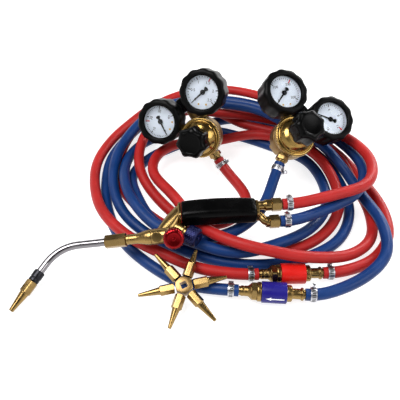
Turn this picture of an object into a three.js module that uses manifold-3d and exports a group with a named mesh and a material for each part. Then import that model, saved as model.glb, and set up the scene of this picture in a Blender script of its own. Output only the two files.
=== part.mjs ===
// Oxy-acetylene welding set laid out on a table: two twin-gauge regulators, a loose coil of red
// and blue hose, two in-line flashback arrestors, a hand torch with a bent lance, and a star of
// six spare nozzles. Millimetres, +Z up, the table is z = 0.
import * as THREE from "three";
import { mergeVertices } from "three/addons/utils/BufferGeometryUtils.js";
import Module from "manifold-3d";

const wasm = await Module();
wasm.setup();

// ---------------------------------------------------------------- driving dimensions
const GAP = 0.3; // between two pieces that touch
const RUN = 0.1; // radial clearance where one piece turns or slides in another
const DEG = Math.PI / 180;

const SHIFT = { x: 4.31, y: 2.81, z: 0 }; // moves the layout so that its base centre is the origin

const hose = { r: 5.95, sides: 8, lead: 14 };
const clip = { rIn: 6.4, rOut: 7.4, width: 6, fromEnd: 4.5, ear: 3.2 };

const body = { rimR: 22.5, top: -1.5, bottom: -18, chamberR: 17, chamberZ: -8 };
const housing = { r: 12, bottom: -39, boreR: 3.5, boreZ: -32 };
const plug = { flats: 17, bottom: -45 };
const bonnet = { rimR: 23.5, rimTop: 5, neckR: 11, shoulder: 14, top: 26, cavityR: 17 };
const knob = { r: 15.6, lobe: 2.2, lobes: 7, bottom: 23, top: 45, cavityR: 12.2, cavityTop: 37 };
const screw = { r: 4, tip: 7 };
const button = { r: 9, top: 6.7, bottom: 3.4 };
const port = { z: -10, bossR: 6.8, proud: 0.7, tail: 8.5 };
const portFace = body.rimR + port.proud; // how far a port's face is from the axis
const outletEnd = portFace + GAP + port.tail; // where the hose starts
const inlet = { z: -31, r: 8, shoulder: 35, neckR: 5.7, neckL: 4.3, flangeR: 8.4, noseR: 5, nose: 7.7 };
const inletNut = { flats: 23, wall: 3.7, length: 17.7, boreR: 9.2 };
const gauge = { spread: 37, reach: 51.5, canR: 23.3, back: -16, front: 4.6, dialZ: 1.2, dialR: 21.7 };
const boot = { r: 26, lobe: 0.9, lobes: 12, lip: 18.8, back: -18, front: 9 };
const spindle = { r: 1, top: 3 };
const needle = { hubR: 2.5, bottom: 1.6, top: 3.2, length: 15.5, tail: 7.4 };
const stem = { width: 10, z: -8 };

const grip = { length: 76, wide: 23.4, high: 19, narrow: 0.98, corner: 6, boreR: 7 };
const flange = { r: 10.6, thick: 3.5, spigot: 9.5 };
const bell = { from: [-2.6, -1.2, 0], way: [-17, -19, -4], rimR: 9.4, neckR: 8.1 };
const socket = { r: 8, length: 22, boreR: 2.4 };
const endPlate = { from: grip.length + GAP, thick: 2.7, scale: 0.86 };
const plateTo = endPlate.from + endPlate.thick;
const gasTube = { r: 2.8, apart: 3.2, from: flange.spigot + 1 };
const redInlet = { y: 4.7, z: 2, nutFrom: plateTo + 14, nutL: 10, past: 1.5 };
const blueInlet = { y: -11.9, z: -5, nutFrom: plateTo + 10, nutL: 10, past: 1.3 };
const unionNut = { flats: 13, boreR: 4.6 };
const tail = { r: 4.2 };
const lance = { x: -30, y: -24.3, z: -4.8, swing: 0.08, fall: 0.19, tubeR: 4 };
const mixer = { bulgeR: 8, bulge: 12, neckR: 5.2, end: 26.5, boreR: 1.6 };
const lanceNut = { flats: 12.5, from: 26.8, to: 48.5 };
const bend = { after: 99, reach: 22, way: [-0.558, -0.786, -0.2565] };
const collar = { r: 5.6, length: 12, after: 30 };
const tip = { flats: 11, hex: 13, length: 34, r: 2.4, boreR: 0.8 };
const valve = { knobR: 10, knobL: 13, stemR: 2.6, glandR: 5 };

const arrestor = { length: 65, sleeveR: 11.2, coreR: 8.5, sleeveFrom: 22.3, sleeveTo: 46.7, z: 11.5 };
const arrestorEnds = { hex: 17, hexL: 9.5, collarR: 8.2, collarL: 5, tailR: 5.2 };
const arrestorLip = { r: 6.4, thick: 2.2, fromEnd: 2, spigotR: 4.6 };

const star = { r: 10.7, hole: 3.2, thick: 9, tilt: 18, first: 12, z: 19.5, hexFlats: 9.4, hex: 14 };
const starReach = [42.5, 38.5, 43, 45, 43, 45]; // each nozzle is a size of its own

// ---------------------------------------------------------------- where the pieces lie
// Each regulator: where its diaphragm rim is, which way its knob faces in plan, how far that
// axis leans from upright, and how far the gauges are rolled round it.
const regulatorPoses = {
  acetylene: { at: [1.2, 76, 51], heading: -18, lean: 60.5, roll: 43.4 },
  oxygen: { at: [104.9, 60, 65], heading: 27, lean: 35, roll: -47.6 },
};
const torchPose = { at: [-18.9, -37.2, 45], heading: 3.74 };
const arrestorPoses = {
  acetylene: { at: [58.5, -88.1], heading: 1.4 },
  oxygen: { at: [37.6, -107.3], heading: -4.1 },
};
const starPose = { at: [-15.5, -107.5] };

// ---------------------------------------------------------------- hose routes
// Points of each hose's centre line, [x, y, z], between the two straight leads that its
// fittings set. Where two hoses cross, one stays low and the other humps over it.
const supplyRed = [
  [52.5, 17.5, 14], [43, -7.5, 12.5], [21, -21.5, 11], [-16, -19, 11.5], [-55, 24.5, 13.5],
  [-72.5, 63.5, 20], [-70, 107, 23], [-57.5, 148.5, 12.5], [-26, 173, 12], [14.5, 167.5, 21],
  [52.5, 148.5, 13], [91.5, 130, 15.5], [131, 113.5, 18.5], [164.5, 87, 17], [180, 46, 7.5],
  [190, 3, 6], [183, -39.5, 9], [153, -68, 16.5], [111, -78, 26], [68.5, -75.5, 33.5],
  [27.5, -62, 34.6], [-4.5, -33.5, 27.4], [-29, 3, 30.5], [-54, 43.5, 24], [-51, 79.5, 20.5],
  [-25.5, 104, 17.5], [20.5, 111.5, 14.7], [63, 120.5, 18], [104.5, 111, 19], [139, 85, 17.5],
  [155, 45.5, 15], [155.5, 2, 11.5], [133, -34, 8], [95, -53.5, 5.5], [52, -52, 7],
  [9.5, -42.5, 5.5], [-30.5, -25, 6], [-64.5, 3.5, 5.5], [-91.5, 37, 6.5], [-98.5, 80, 11],
  [-87, 121.5, 17.5], [-60.5, 155, 24.5], [-19.5, 165, 24.5], [21.5, 151, 28],
  [65.5, 147.5, 26], [107.5, 137.5, 21.5], [146, 119.5, 12.5], [175, 89.5, 6.5],
  [192.5, 49.5, 5.5], [205.5, 8, 6], [203, -35, 6.5], [177, -69, 7.5],
];
const supplyBlue = [
  [65.5, -19.5, 32.5], [31.5, -43.5, 21.5], [-11, -44.5, 16], [-49, -24, 16], [-71.5, 15, 19],
  [-80, 57, 9], [-59.5, 92.5, 6], [-23, 116.5, 6], [13.5, 141.5, 6], [55, 129.5, 5.5],
  [94, 109.5, 5.5], [130, 86, 6], [144.5, 45, 7.5], [140.5, 1.5, 11.5], [116, -34, 16],
  [78.5, -56.5, 19.5], [36, -67.5, 19], [-6.5, -56.5, 23.5], [-46, -38, 27.5], [-73, -4, 29.5],
  [-86.5, 36.5, 25], [-86, 80, 16], [-69.5, 119, 6.5], [-31, 141, 6], [9.5, 157, 5.5],
  [48.5, 167, 5.5], [89.5, 149.5, 6], [125, 122, 5.5], [152, 87, 5.5], [165.5, 45, 5.5],
  [168, 1.5, 6], [150.5, -38, 5.5], [114, -62, 5.5], [71.5, -72, 5.5], [27.5, -70, 6],
  [-14.5, -56, 7], [-54, -36.5, 9.5], [-85.5, -5.5, 13], [-100, 35, 18], [-98.5, 78, 24],
  [-81, 118.5, 29], [-52.5, 150, 35.5], [-12, 163, 38], [31, 153, 40.5], [72.5, 139.5, 42],
  [112, 121, 31.3], [146, 91, 28], [168, 56.5, 20], [182, 15.5, 17], [193.5, -27, 21.5],
  [189.5, -69.5, 19.5], [157.5, -98, 15],
];
const torchRed = [
  [1.5, -83, 13], [-39, -65, 15.5], [-77.5, -43, 18.5], [-106.5, -9.5, 18], [-121, 32, 14],
  [-124.5, 76, 11], [-112.5, 118.5, 9], [-90.5, 157, 7.5], [-63.5, 192.5, 7],
  [-27.5, 217.5, 8], [15.5, 228, 10], [58, 216.5, 14], [94.5, 192, 19], [125, 159.5, 23],
  [151, 124.5, 28.5], [180, 92, 34], [194, 48.5, 41], [181.5, 7.5, 44.5],
  [141.5, -11.5, 46.5],
];
const torchBlue = [
  [-16.5, -95.5, 6], [-54.5, -71, 7], [-85.5, -37.5, 6], [-103.5, 3, 5.5], [-111, 46.5, 5.5],
  [-109, 91, 5.5], [-91, 131.5, 5.5], [-66, 168.5, 5.5], [-32, 196.5, 5.5], [10.5, 209.5, 5.5],
  [54.5, 204.5, 6], [95, 186, 6.5], [129, 157.5, 10.5], [158.5, 125, 17.5], [182, 87.5, 20.5],
  [188, 44.5, 28], [171.5, 4.5, 32], [134.5, -20.5, 34.5],
];

// ---------------------------------------------------------------- finishes
const finish = (color, roughness, metalness) =>
  new THREE.MeshStandardMaterial({ color, roughness, metalness });
const brass = finish(0xb08d45, 0.35, 1);
const castBrass = finish(0x9a7a3c, 0.5, 1);
const steel = finish(0xb8bcc0, 0.3, 1);
const blackPlastic = finish(0x111113, 0.55, 0);
const blackRubber = finish(0x18181a, 0.75, 0);
const dialWhite = finish(0xe8eaf0, 0.5, 0);
const redRubber = finish(0xb3201f, 0.6, 0);
const blueRubber = finish(0x1c3f86, 0.6, 0);
const redEnamel = finish(0xd01f1c, 0.35, 0);
const blueEnamel = finish(0x2d2f8f, 0.35, 0);

// ---------------------------------------------------------------- solids
// A closed geometry as a solid; every shape below becomes one before it is joined or cut.
function solid(geometry) {
  const flat = geometry.index ? geometry.toNonIndexed() : geometry.clone();
  const bare = new THREE.BufferGeometry();
  bare.setAttribute("position", flat.getAttribute("position"));
  const merged = mergeVertices(bare, 1e-4);
  const mesh = new wasm.Mesh({
    numProp: 3,
    vertProperties: merged.attributes.position.array,
    triVerts: new Uint32Array(merged.index.array),
  });
  return new wasm.Manifold(mesh);
}

function geometryOf(made) {
  const mesh = made.getMesh();
  const points = new Float32Array(mesh.numVert * 3);
  for (let i = 0; i < mesh.numVert; i++) {
    const from = i * mesh.numProp;
    points.set(mesh.vertProperties.subarray(from, from + 3), i * 3);
  }
  const geometry = new THREE.BufferGeometry();
  geometry.setAttribute("position", new THREE.BufferAttribute(points, 3));
  geometry.setIndex(new THREE.BufferAttribute(mesh.triVerts, 1));
  const faceted = geometry.toNonIndexed();
  faceted.computeVertexNormals();
  return faceted;
}

const union = (first, ...others) => others.reduce((sum, next) => sum.add(next), first);
const minus = (first, ...others) => others.reduce((sum, next) => sum.subtract(next), first);

// A profile of [radius, z] points, bottom on the axis to top on the axis, turned round Z.
function turned(profile, segments = 16) {
  const points = profile.map(([r, z]) => new THREE.Vector2(r, z));
  return solid(new THREE.LatheGeometry(points, segments).rotateX(Math.PI / 2));
}

// A ring whose section is the closed loop of [radius, z] points, given anticlockwise.
function ringOf(profile, segments = 20) {
  return turned([...profile, profile[0]], segments);
}

const rod = (r, z0, z1, segments = 12) => turned([[0, z0], [r, z0], [r, z1], [0, z1]], segments);

// A hexagonal bar along Z with the given width across flats.
function hexBar(flats, z0, z1) {
  const r = flats / 2 / Math.cos(Math.PI / 6);
  const bar = new THREE.CylinderGeometry(r, r, z1 - z0, 6);
  return solid(bar.rotateX(Math.PI / 2).translate(0, 0, (z0 + z1) / 2));
}

// The hexagonal bar with both rims chamfered, as a nut is.
function nut(flats, z0, z1) {
  const r = flats / 2 / Math.cos(Math.PI / 6);
  const cut = r - flats / 2 + 0.4;
  const drop = cut * 0.6;
  const lens = [[0, z0], [r - cut, z0], [r + 0.2, z0 + drop], [r + 0.2, z1 - drop]];
  return hexBar(flats, z0, z1).intersect(turned([...lens, [r - cut, z1], [0, z1]], 12));
}

const block = (x0, x1, y0, y1, z0, z1) =>
  solid(
    new THREE.BoxGeometry(x1 - x0, y1 - y0, z1 - z0).translate(
      (x0 + x1) / 2,
      (y0 + y1) / 2,
      (z0 + z1) / 2,
    ),
  );

// Swings a shape made along Z so that it runs along the given direction from the given point.
function along(shape, from, direction) {
  const to = new THREE.Vector3(...direction).normalize();
  const turn = new THREE.Quaternion().setFromUnitVectors(new THREE.Vector3(0, 0, 1), to);
  const place = new THREE.Matrix4().makeRotationFromQuaternion(turn);
  place.setPosition(...from);
  return solid(geometryOf(shape).applyMatrix4(place));
}

// A turned shape whose outline swells into lobes round the axis.
function lobed(profile, segments, lobes, depth, sharp) {
  const points = profile.map(([r, z]) => new THREE.Vector2(r, z));
  const shape = new THREE.LatheGeometry(points, segments).rotateX(Math.PI / 2);
  const at = shape.getAttribute("position");
  const outer = Math.max(...profile.map(([r]) => r));
  for (let i = 0; i < at.count; i++) {
    const x = at.getX(i);
    const y = at.getY(i);
    const r = Math.hypot(x, y);
    if (r < outer * 0.86) continue;
    const wave = 0.5 + 0.5 * Math.cos(lobes * Math.atan2(y, x));
    const swell = 1 + (depth * Math.pow(wave, sharp)) / outer;
    at.setXYZ(i, x * swell, y * swell, at.getZ(i));
  }
  return solid(shape);
}

function piece(name, made, material) {
  const mesh = new THREE.Mesh(geometryOf(made), material);
  mesh.name = name;
  return mesh;
}

// ---------------------------------------------------------------- pressure gauge
// Its own frame: dial facing +Z, the scale's top towards +Y, the stem leaving towards -Y.
const stemDown = gauge.reach - portFace - GAP; // from the dial's centre to the port's face

function gaugeCan() {
  const { canR, back, front, dialZ, dialR } = gauge;
  const shell = turned([
    [0, back], [canR - 2, back], [canR, back + 2], [canR, front],
    [dialR, front], [dialR, dialZ], [spindle.r, dialZ], [spindle.r, spindle.top],
    [0, spindle.top],
  ], 20);
  const half = stem.width / 2;
  const square = block(-half, half, -stemDown, -canR + 2, stem.z - half, stem.z + half);
  return union(shell, square);
}

function gaugeBoot() {
  const { r, lobe, lobes, lip, back, front } = boot;
  const inside = gauge.canR + GAP;
  const shell = lobed([
    [inside, back], [r - 1.2, back], [r, front - 3], [r - 2.5, front],
    [lip, front], [lip, gauge.front + GAP], [inside, gauge.front + GAP], [inside, back],
  ], lobes * 3, lobes, lobe, 1);
  const half = stem.width / 2 + 1;
  return minus(shell, block(-half, half, -r - 3, -canMid, back - 1, stem.z + half));
}
const canMid = gauge.canR * 0.7;

function gaugeNeedle() {
  const { hubR, bottom, top, length } = needle;
  const outline = new THREE.Shape();
  const blade = [[0.9, -1], [0.35, -length], [-0.35, -length], [-0.9, -1]];
  const weight = [[-1, 2], [-2.2, 5], [-2.6, needle.tail], [2.6, needle.tail], [2.2, 5], [1, 2]];
  [...blade, ...weight].forEach(([x, y], i) => outline[i ? "lineTo" : "moveTo"](x, y));
  const flat = new THREE.ExtrudeGeometry(outline, { depth: top - bottom - 0.8, bevelEnabled: false });
  const plate = solid(flat.translate(0, 0, bottom + 0.4));
  const hub = rod(hubR, bottom, top, 10);
  return minus(union(plate, hub), rod(spindle.r + RUN, bottom - 1, top + 1, 8));
}

function gaugeGroup(gas, side, turn) {
  const group = new THREE.Group();
  group.add(piece(`${gas}_${side}_gauge_case`, gaugeCan(), dialWhite));
  group.add(piece(`${gas}_${side}_gauge_boot`, gaugeBoot(), blackRubber));
  const pointer = piece(`${gas}_${side}_gauge_needle`, gaugeNeedle(), blackPlastic);
  pointer.rotation.z = -45 * DEG; // at rest it points at the bottom left, where the scale starts
  group.add(pointer);
  const swing = turn * gauge.spread * DEG;
  group.position.set(Math.sin(swing) * gauge.reach, Math.cos(swing) * gauge.reach, 0);
  group.rotation.z = -swing;
  return group;
}

// ---------------------------------------------------------------- regulator
// Its own frame: the knob faces +Z from the diaphragm rim at z = 0, the outlet leaves to -Y.
const nipple = inlet.shoulder + inlet.neckL; // where the nipple's flange is, inside its nut

function regulatorBody() {
  const { rimR, top, bottom, chamberR, chamberZ } = body;
  const cast = turned([
    [0, housing.bottom], [housing.r, housing.bottom], [housing.r, bottom - 3],
    [housing.r + 3, bottom], [rimR - 2, bottom], [rimR, bottom + 2], [rimR, top], [0, top],
  ], 18);
  const screwed = nut(plug.flats, plug.bottom, housing.bottom + 1);
  const inletStem = along(
    turned([
      [0, housing.r - 4], [inlet.r, housing.r - 4], [inlet.r, inlet.shoulder],
      [inlet.neckR, inlet.shoulder], [inlet.neckR, nipple], [inlet.flangeR, nipple],
      [inlet.flangeR, nipple + 2], [inlet.noseR, nipple + 3],
      [inlet.noseR, nipple + inlet.nose], [0, nipple + inlet.nose],
    ], 12),
    [0, 0, inlet.z],
    [0, 1, 0],
  );
  const radial = (r, degrees, z) => {
    const way = [Math.sin(degrees * DEG), Math.cos(degrees * DEG), 0];
    return along(rod(r, rimR - 4, portFace, 10), [0, 0, z], way);
  };
  const ports = [
    radial(port.bossR, 180, port.z),
    radial(port.bossR, gauge.spread, stem.z),
    radial(port.bossR, -gauge.spread, stem.z),
  ];
  const hollow = turned([
    [0, housing.boreZ], [housing.boreR, housing.boreZ], [housing.boreR, chamberZ],
    [chamberR, chamberZ], [chamberR, top + 1], [0, top + 1],
  ], 18);
  const way = along(rod(3, 0, nipple + inlet.nose + 1, 8), [0, 0, inlet.z], [0, 1, 0]);
  return minus(union(cast, screwed, inletStem, ...ports), hollow, way);
}

function regulatorBonnet() {
  const { rimR, rimTop, neckR, shoulder, top, cavityR } = bonnet;
  const low = body.top + GAP;
  const bore = screw.r + RUN;
  return ringOf([
    [cavityR, low], [rimR - 0.8, low], [rimR, low + 0.8], [rimR, rimTop - 0.8],
    [rimR - 0.8, rimTop], [rimR - 3, rimTop], [rimR - 4, rimTop + 2.5], [15, 11],
    [neckR + 0.6, shoulder], [neckR, shoulder + 0.6], [neckR, top - 1], [neckR - 1, top],
    [bore, top], [bore, 11], [10, 10], [cavityR, 5],
  ], 18);
}

function regulatorKnob() {
  const { r, lobe, lobes, bottom, top, cavityR, cavityTop } = knob;
  const shell = lobed([
    [0, bottom], [r - 1, bottom], [r, bottom + 1.5], [r, top - 5], [r - 1.6, top - 1.6],
    [r - 4, top], [0, top],
  ], lobes * 4, lobes, lobe, 1.6);
  const cup = rod(cavityR, bottom - 1, cavityTop, 18);
  return union(minus(shell, cup), rod(screw.r, screw.tip, cavityTop + 2, 14));
}

function springButton() {
  const { r, top, bottom } = button;
  return turned([[0, bottom], [r, bottom], [r, top - 1.5], [r - 3, top], [0, top]], 16);
}

// The nut and barbed tail that the hose is pushed over, made along its own Z.
function hoseTail() {
  const start = portFace + GAP;
  const end = outletEnd - GAP;
  const hex = nut(13, start, start + 5);
  const neck = turned([
    [0, start + 4], [5.2, start + 4], [5.2, end - 1.6], [4.4, end], [0, end],
  ], 12);
  return minus(union(hex, neck), rod(2.2, start - 1, end + 1, 8));
}

function inletUnion() {
  const { flats, wall, length, boreR } = inletNut;
  const from = inlet.shoulder + GAP;
  const neck = rod(inlet.neckR + GAP, from - 1, from + wall + 1, 12);
  const mouth = rod(boreR, from + wall, from + length + 1, 14);
  return minus(nut(flats, from, from + length), neck, mouth);
}

function regulator(gas) {
  const group = new THREE.Group();
  group.add(piece(`${gas}_regulator_body`, regulatorBody(), castBrass));
  group.add(piece(`${gas}_bonnet`, regulatorBonnet(), brass));
  group.add(piece(`${gas}_adjusting_knob`, regulatorKnob(), blackPlastic));
  group.add(piece(`${gas}_spring_button`, springButton(), steel));
  const tailPiece = piece(`${gas}_outlet_tail`, hoseTail(), brass);
  tailPiece.rotation.x = Math.PI / 2;
  tailPiece.position.z = port.z;
  group.add(tailPiece);
  const inletPiece = piece(`${gas}_inlet_nut`, inletUnion(), blackPlastic);
  inletPiece.rotation.x = -Math.PI / 2;
  inletPiece.position.z = inlet.z;
  group.add(inletPiece);
  group.add(gaugeGroup(gas, "left", -1), gaugeGroup(gas, "right", 1));
  return group;
}

function posed(group, { at, heading, lean, roll }) {
  const rolled = new THREE.Group();
  rolled.rotation.z = roll * DEG;
  rolled.add(group);
  const leaned = new THREE.Group();
  leaned.rotation.x = lean * DEG;
  leaned.add(rolled);
  const outer = new THREE.Group();
  outer.position.set(...at);
  outer.rotation.z = heading * DEG;
  outer.add(leaned);
  return outer;
}

// ---------------------------------------------------------------- torch
// Its own frame: the grip runs along +X from its front face at x = 0, the lance falls to -X.
function roundedRect(w, h, r) {
  const shape = new THREE.Shape();
  shape.moveTo(-w / 2 + r, -h / 2);
  shape.lineTo(w / 2 - r, -h / 2);
  shape.absarc(w / 2 - r, -h / 2 + r, r, -Math.PI / 2, 0);
  shape.lineTo(w / 2, h / 2 - r);
  shape.absarc(w / 2 - r, h / 2 - r, r, 0, Math.PI / 2);
  shape.lineTo(-w / 2 + r, h / 2);
  shape.absarc(-w / 2 + r, h / 2 - r, r, Math.PI / 2, Math.PI);
  shape.lineTo(-w / 2, -h / 2 + r);
  shape.absarc(-w / 2 + r, -h / 2 + r, r, Math.PI, 1.5 * Math.PI);
  return shape;
}

// Turns a shape made along Z so that it lies along X: its width to Y, its height to Z.
function layDown(geometry) {
  return geometry.rotateX(Math.PI / 2).rotateZ(Math.PI / 2);
}

function torchGrip() {
  const { length, wide, high, narrow, corner, boreR } = grip;
  const section = roundedRect(wide - 2, high - 2, corner - 1);
  const bar = new THREE.ExtrudeGeometry(section, {
    depth: length - 2, steps: 1, curveSegments: 3,
    bevelSize: 1, bevelThickness: 1, bevelSegments: 1,
  });
  layDown(bar.translate(0, 0, 1));
  const at = bar.getAttribute("position");
  for (let i = 0; i < at.count; i++) {
    const thin = 1 - ((1 - narrow) * at.getX(i)) / length;
    at.setXYZ(i, at.getX(i), at.getY(i) * thin, at.getZ(i) * thin);
  }
  return minus(solid(bar), along(rod(boreR, -1, length + 1, 16), [0, 0, 0], [1, 0, 0]));
}

const lanceFoot = new THREE.Vector3(lance.x, lance.y, lance.z);
const lanceWay = new THREE.Vector3(-1, lance.swing, -lance.fall).normalize();
const lanceAt = (s) => lanceFoot.clone().addScaledVector(lanceWay, s).toArray();
const redValve = { at: [-8.8, -38.6, 9.3], way: [0, -0.78, 0.63], root: 2 };
const blueValve = { at: [10.4, -26.9, -4], way: [0.8, -0.6, 0], root: 9 };

// A point the given distance behind a valve knob's centre.
function behind(spot, back) {
  const way = new THREE.Vector3(...spot.way).normalize().multiplyScalar(-back);
  return [spot.at[0] + way.x, spot.at[1] + way.y, spot.at[2] + way.z];
}

function valveGland(spot) {
  const foot = behind(spot, valve.knobL / 2 + 8);
  const gland = turned([
    [0, -spot.root], [valve.glandR + 1.5, -spot.root], [valve.glandR + 1.5, 4.5], [valve.glandR, 5.2],
    [valve.glandR, 7.7], [0, 7.7],
  ], 12);
  return along(gland, foot, spot.way);
}

const valveBore = (spot) =>
  along(rod(valve.stemR + RUN, 1.5, 12, 18), behind(spot, valve.knobL / 2 + 8), spot.way);

// The bell that swings from the grip's flange down to the lance's axis.
function torchHead() {
  const rim = along(rod(flange.r, GAP, flange.thick, 20), [0, 0, 0], [-1, 0, 0]);
  const spigot = along(rod(grip.boreR - GAP, -flange.spigot, 1, 16), [0, 0, 0], [-1, 0, 0]);
  const reach = new THREE.Vector3(...bell.way).length();
  const cone = turned([[0, 0], [bell.rimR, 0], [bell.neckR, reach * 0.85], [0, reach]], 18);
  const front = block(-GAP, grip.high, -grip.wide, grip.wide, -grip.high, grip.high);
  const swung = minus(along(cone, bell.from, bell.way), front); // the grip is in front
  const socketWay = lanceWay.toArray();
  const seat = along(rod(socket.r, -socket.length, -GAP, 18), lanceAt(0), socketWay);
  const core = union(rim, spigot, swung, seat, valveGland(redValve), valveGland(blueValve));
  const bore = along(rod(socket.boreR, -10, 1, 8), lanceAt(0), socketWay);
  return minus(core, valveBore(redValve), valveBore(blueValve), bore);
}

function valveKnob(spot, flutes) {
  const { knobR, knobL, stemR } = valve;
  const half = knobL / 2;
  const cap = lobed([
    [0, -half], [knobR - 1, -half], [knobR, -half + 1], [knobR, half - 2.5],
    [knobR - 1.5, half - 0.6], [knobR - 4, half], [0, half],
  ], flutes * 2, flutes, 0.5, 1);
  const shaft = rod(stemR, -half - 6, -half + 1, 10);
  return along(union(cap, shaft), spot.at, spot.way);
}

function mixerBody() {
  const { bulgeR, bulge, neckR, end, boreR } = mixer;
  const round = turned([
    [0, 0], [bulgeR - 0.6, 0], [bulgeR, 1], [bulgeR, bulge * 0.5], [neckR + 0.6, bulge],
    [neckR, bulge + 3], [neckR, end], [0, end],
  ], 16);
  const flat = block(-12, 12, -bulgeR - 1, -bulgeR + 0.9, -1, bulge);
  const cut = minus(round, flat, rod(boreR, -1, end + 1, 8));
  return along(cut, lanceAt(0), lanceWay.toArray());
}

function lanceUnion() {
  const { flats, from, to } = lanceNut;
  const bar = minus(nut(flats, from, to), rod(boreOfNut, from - 1, to + 1, 20));
  return along(bar, lanceAt(0), lanceWay.toArray());
}
const boreOfNut = lance.tubeR + RUN;

// The steel pipe: straight through the nut, round the bend and into the collar.
const bendCorner = new THREE.Vector3(...lanceAt(bend.after));
const tipWay = new THREE.Vector3(...bend.way).normalize();
const afterBend = (s) => bendCorner.clone().addScaledVector(tipWay, s).toArray();

function lanceTube() {
  const start = new THREE.Vector3(...lanceAt(lanceNut.from + GAP));
  const before = bendCorner.clone().addScaledVector(lanceWay, -bend.reach);
  const after = bendCorner.clone().addScaledVector(tipWay, bend.reach);
  const end = new THREE.Vector3(...afterBend(collar.after + 6));
  const route = new THREE.CurvePath();
  route.add(new THREE.LineCurve3(start, before));
  route.add(new THREE.QuadraticBezierCurve3(before, bendCorner, after));
  route.add(new THREE.LineCurve3(after, end));
  return loft(stations(route, 8), lance.tubeR, 10);
}

// Points along a straight-bend-straight route: its ends, and even steps round the bend.
function stations(route, steps) {
  const [first, bend, last] = route.curves;
  return [first.v1, ...bend.getPoints(steps), last.v2];
}

function tipCollar() {
  const { r, length, after } = collar;
  const ring = turned([
    [0, 0], [r - 0.8, 0], [r, 0.8], [r, length - 4], [r - 0.7, length - 4],
    [r - 0.7, length], [0, length],
  ], 14);
  const socket = rod(lance.tubeR + GAP, -1, 6 + GAP, 12);
  return along(minus(ring, socket, rod(2, 0, length + 1, 8)), afterBend(after), tipWay.toArray());
}

// A welding nozzle along Z: hexagon at its foot, then a long taper to the orifice.
function nozzle(flats, hex, length, r, boreR) {
  const across = flats / 2;
  const taper = turned([
    [0, hex - 1], [across - 0.6, hex - 1], [across - 1, hex + 2], [r, length - 0.6],
    [r - 0.5, length], [0, length],
  ], 10);
  return minus(union(hexBar(flats, 0, hex), taper), rod(boreR, -1, length + 1, 6));
}

function torchTip() {
  const foot = afterBend(collar.after + collar.length + GAP);
  return along(nozzle(tip.flats, tip.hex, tip.length, tip.r, tip.boreR), foot, tipWay.toArray());
}

const inletEnd = ({ nutFrom, nutL, past }) => nutFrom + nutL + past; // where the hose starts

function inletBlock() {
  const { from, scale } = endPlate;
  const to = plateTo;
  const plate = new THREE.ExtrudeGeometry(
    roundedRect(grip.wide * scale, grip.high * scale, 5),
    { depth: to - from, bevelEnabled: false, curveSegments: 3 },
  );
  const back = solid(layDown(plate.translate(0, 0, from)));
  const red = along(
    turned([
      [0, to - 1], [4.6, to - 1], [4.6, to + 6], [6, to + 8], [6, redInlet.nutFrom - GAP],
      [tail.r, redInlet.nutFrom - GAP], [tail.r, inletEnd(redInlet) - GAP],
      [0, inletEnd(redInlet) - GAP],
    ], 12),
    [0, redInlet.y, redInlet.z],
    [1, 0, 0],
  );
  const { y, z, nutFrom } = blueInlet;
  const end = inletEnd(blueInlet);
  const elbow = loft(
    [[to - 1, -4.4, -2.2], [to + 1, -5, -2.4], [to + 4.5, y + 1.2, z + 0.6], [nutFrom - 2, y, z]]
      .map((p) => new THREE.Vector3(...p)),
    4.2, 10,
  );
  const straight = along(
    turned([
      [0, nutFrom - 3.5], [5.6, nutFrom - 3.5], [5.6, nutFrom - GAP], [tail.r, nutFrom - GAP],
      [tail.r, end - GAP], [0, end - GAP],
    ], 12),
    [0, y, z],
    [1, 0, 0],
  );
  const inner = [1, -1].map((side) =>
    along(rod(gasTube.r, gasTube.from, to - 1, 8), [0, side * gasTube.apart, 0], [1, 0, 0]),
  );
  return union(back, red, elbow, straight, ...inner);
}

function torchNut({ y, z, nutFrom, nutL }) {
  const bore = rod(unionNut.boreR, nutFrom - 1, nutFrom + nutL + 1, 12);
  return along(minus(nut(unionNut.flats, nutFrom, nutFrom + nutL), bore), [0, y, z], [1, 0, 0]);
}

function torch() {
  const group = new THREE.Group();
  group.add(piece("torch_grip", torchGrip(), blackPlastic));
  group.add(piece("torch_head", torchHead(), brass));
  group.add(piece("torch_inlet_block", inletBlock(), brass));
  group.add(piece("torch_acetylene_nut", torchNut(redInlet), brass));
  group.add(piece("torch_oxygen_nut", torchNut(blueInlet), brass));
  group.add(piece("torch_acetylene_valve_knob", valveKnob(redValve, 12), redEnamel));
  group.add(piece("torch_oxygen_valve_knob", valveKnob(blueValve, 12), blueEnamel));
  group.add(piece("torch_mixer", mixerBody(), brass));
  group.add(piece("torch_lance_nut", lanceUnion(), brass));
  group.add(piece("torch_lance_tube", lanceTube(), steel));
  group.add(piece("torch_tip_collar", tipCollar(), steel));
  group.add(piece("torch_tip", torchTip(), brass));
  group.position.set(...torchPose.at);
  group.rotation.z = torchPose.heading * DEG;
  return group;
}

// ---------------------------------------------------------------- flashback arrestor
function arrestorBody() {
  const { length, coreR, sleeveFrom, sleeveTo } = arrestor;
  const { hex, hexL, collarR, collarL, tailR } = arrestorEnds;
  const { r: lipR, thick, fromEnd, spigotR } = arrestorLip;
  const hexTo = sleeveFrom - GAP;
  const hexFrom = hexTo - hexL;
  const collarFrom = sleeveTo + GAP;
  const collarTo = collarFrom + collarL;
  const lipTo = length - fromEnd;
  const lipFrom = lipTo - thick;
  const turnedBody = turned([
    [0, GAP], [spigotR, GAP], [spigotR, fromEnd], [tailR, fromEnd + 0.6], [tailR, hexFrom - 3.5],
    [tailR + 1, hexFrom - 2], [coreR, hexFrom], [coreR, collarFrom], [collarR, collarFrom],
    [collarR, collarTo - 1], [tailR, collarTo], [tailR, lipFrom - 0.6], [lipR, lipFrom],
    [lipR, lipTo], [spigotR, lipTo + 0.4], [spigotR, length - GAP], [0, length - GAP],
  ], 12);
  return union(turnedBody, nut(hex, hexFrom, hexTo));
}

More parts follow.
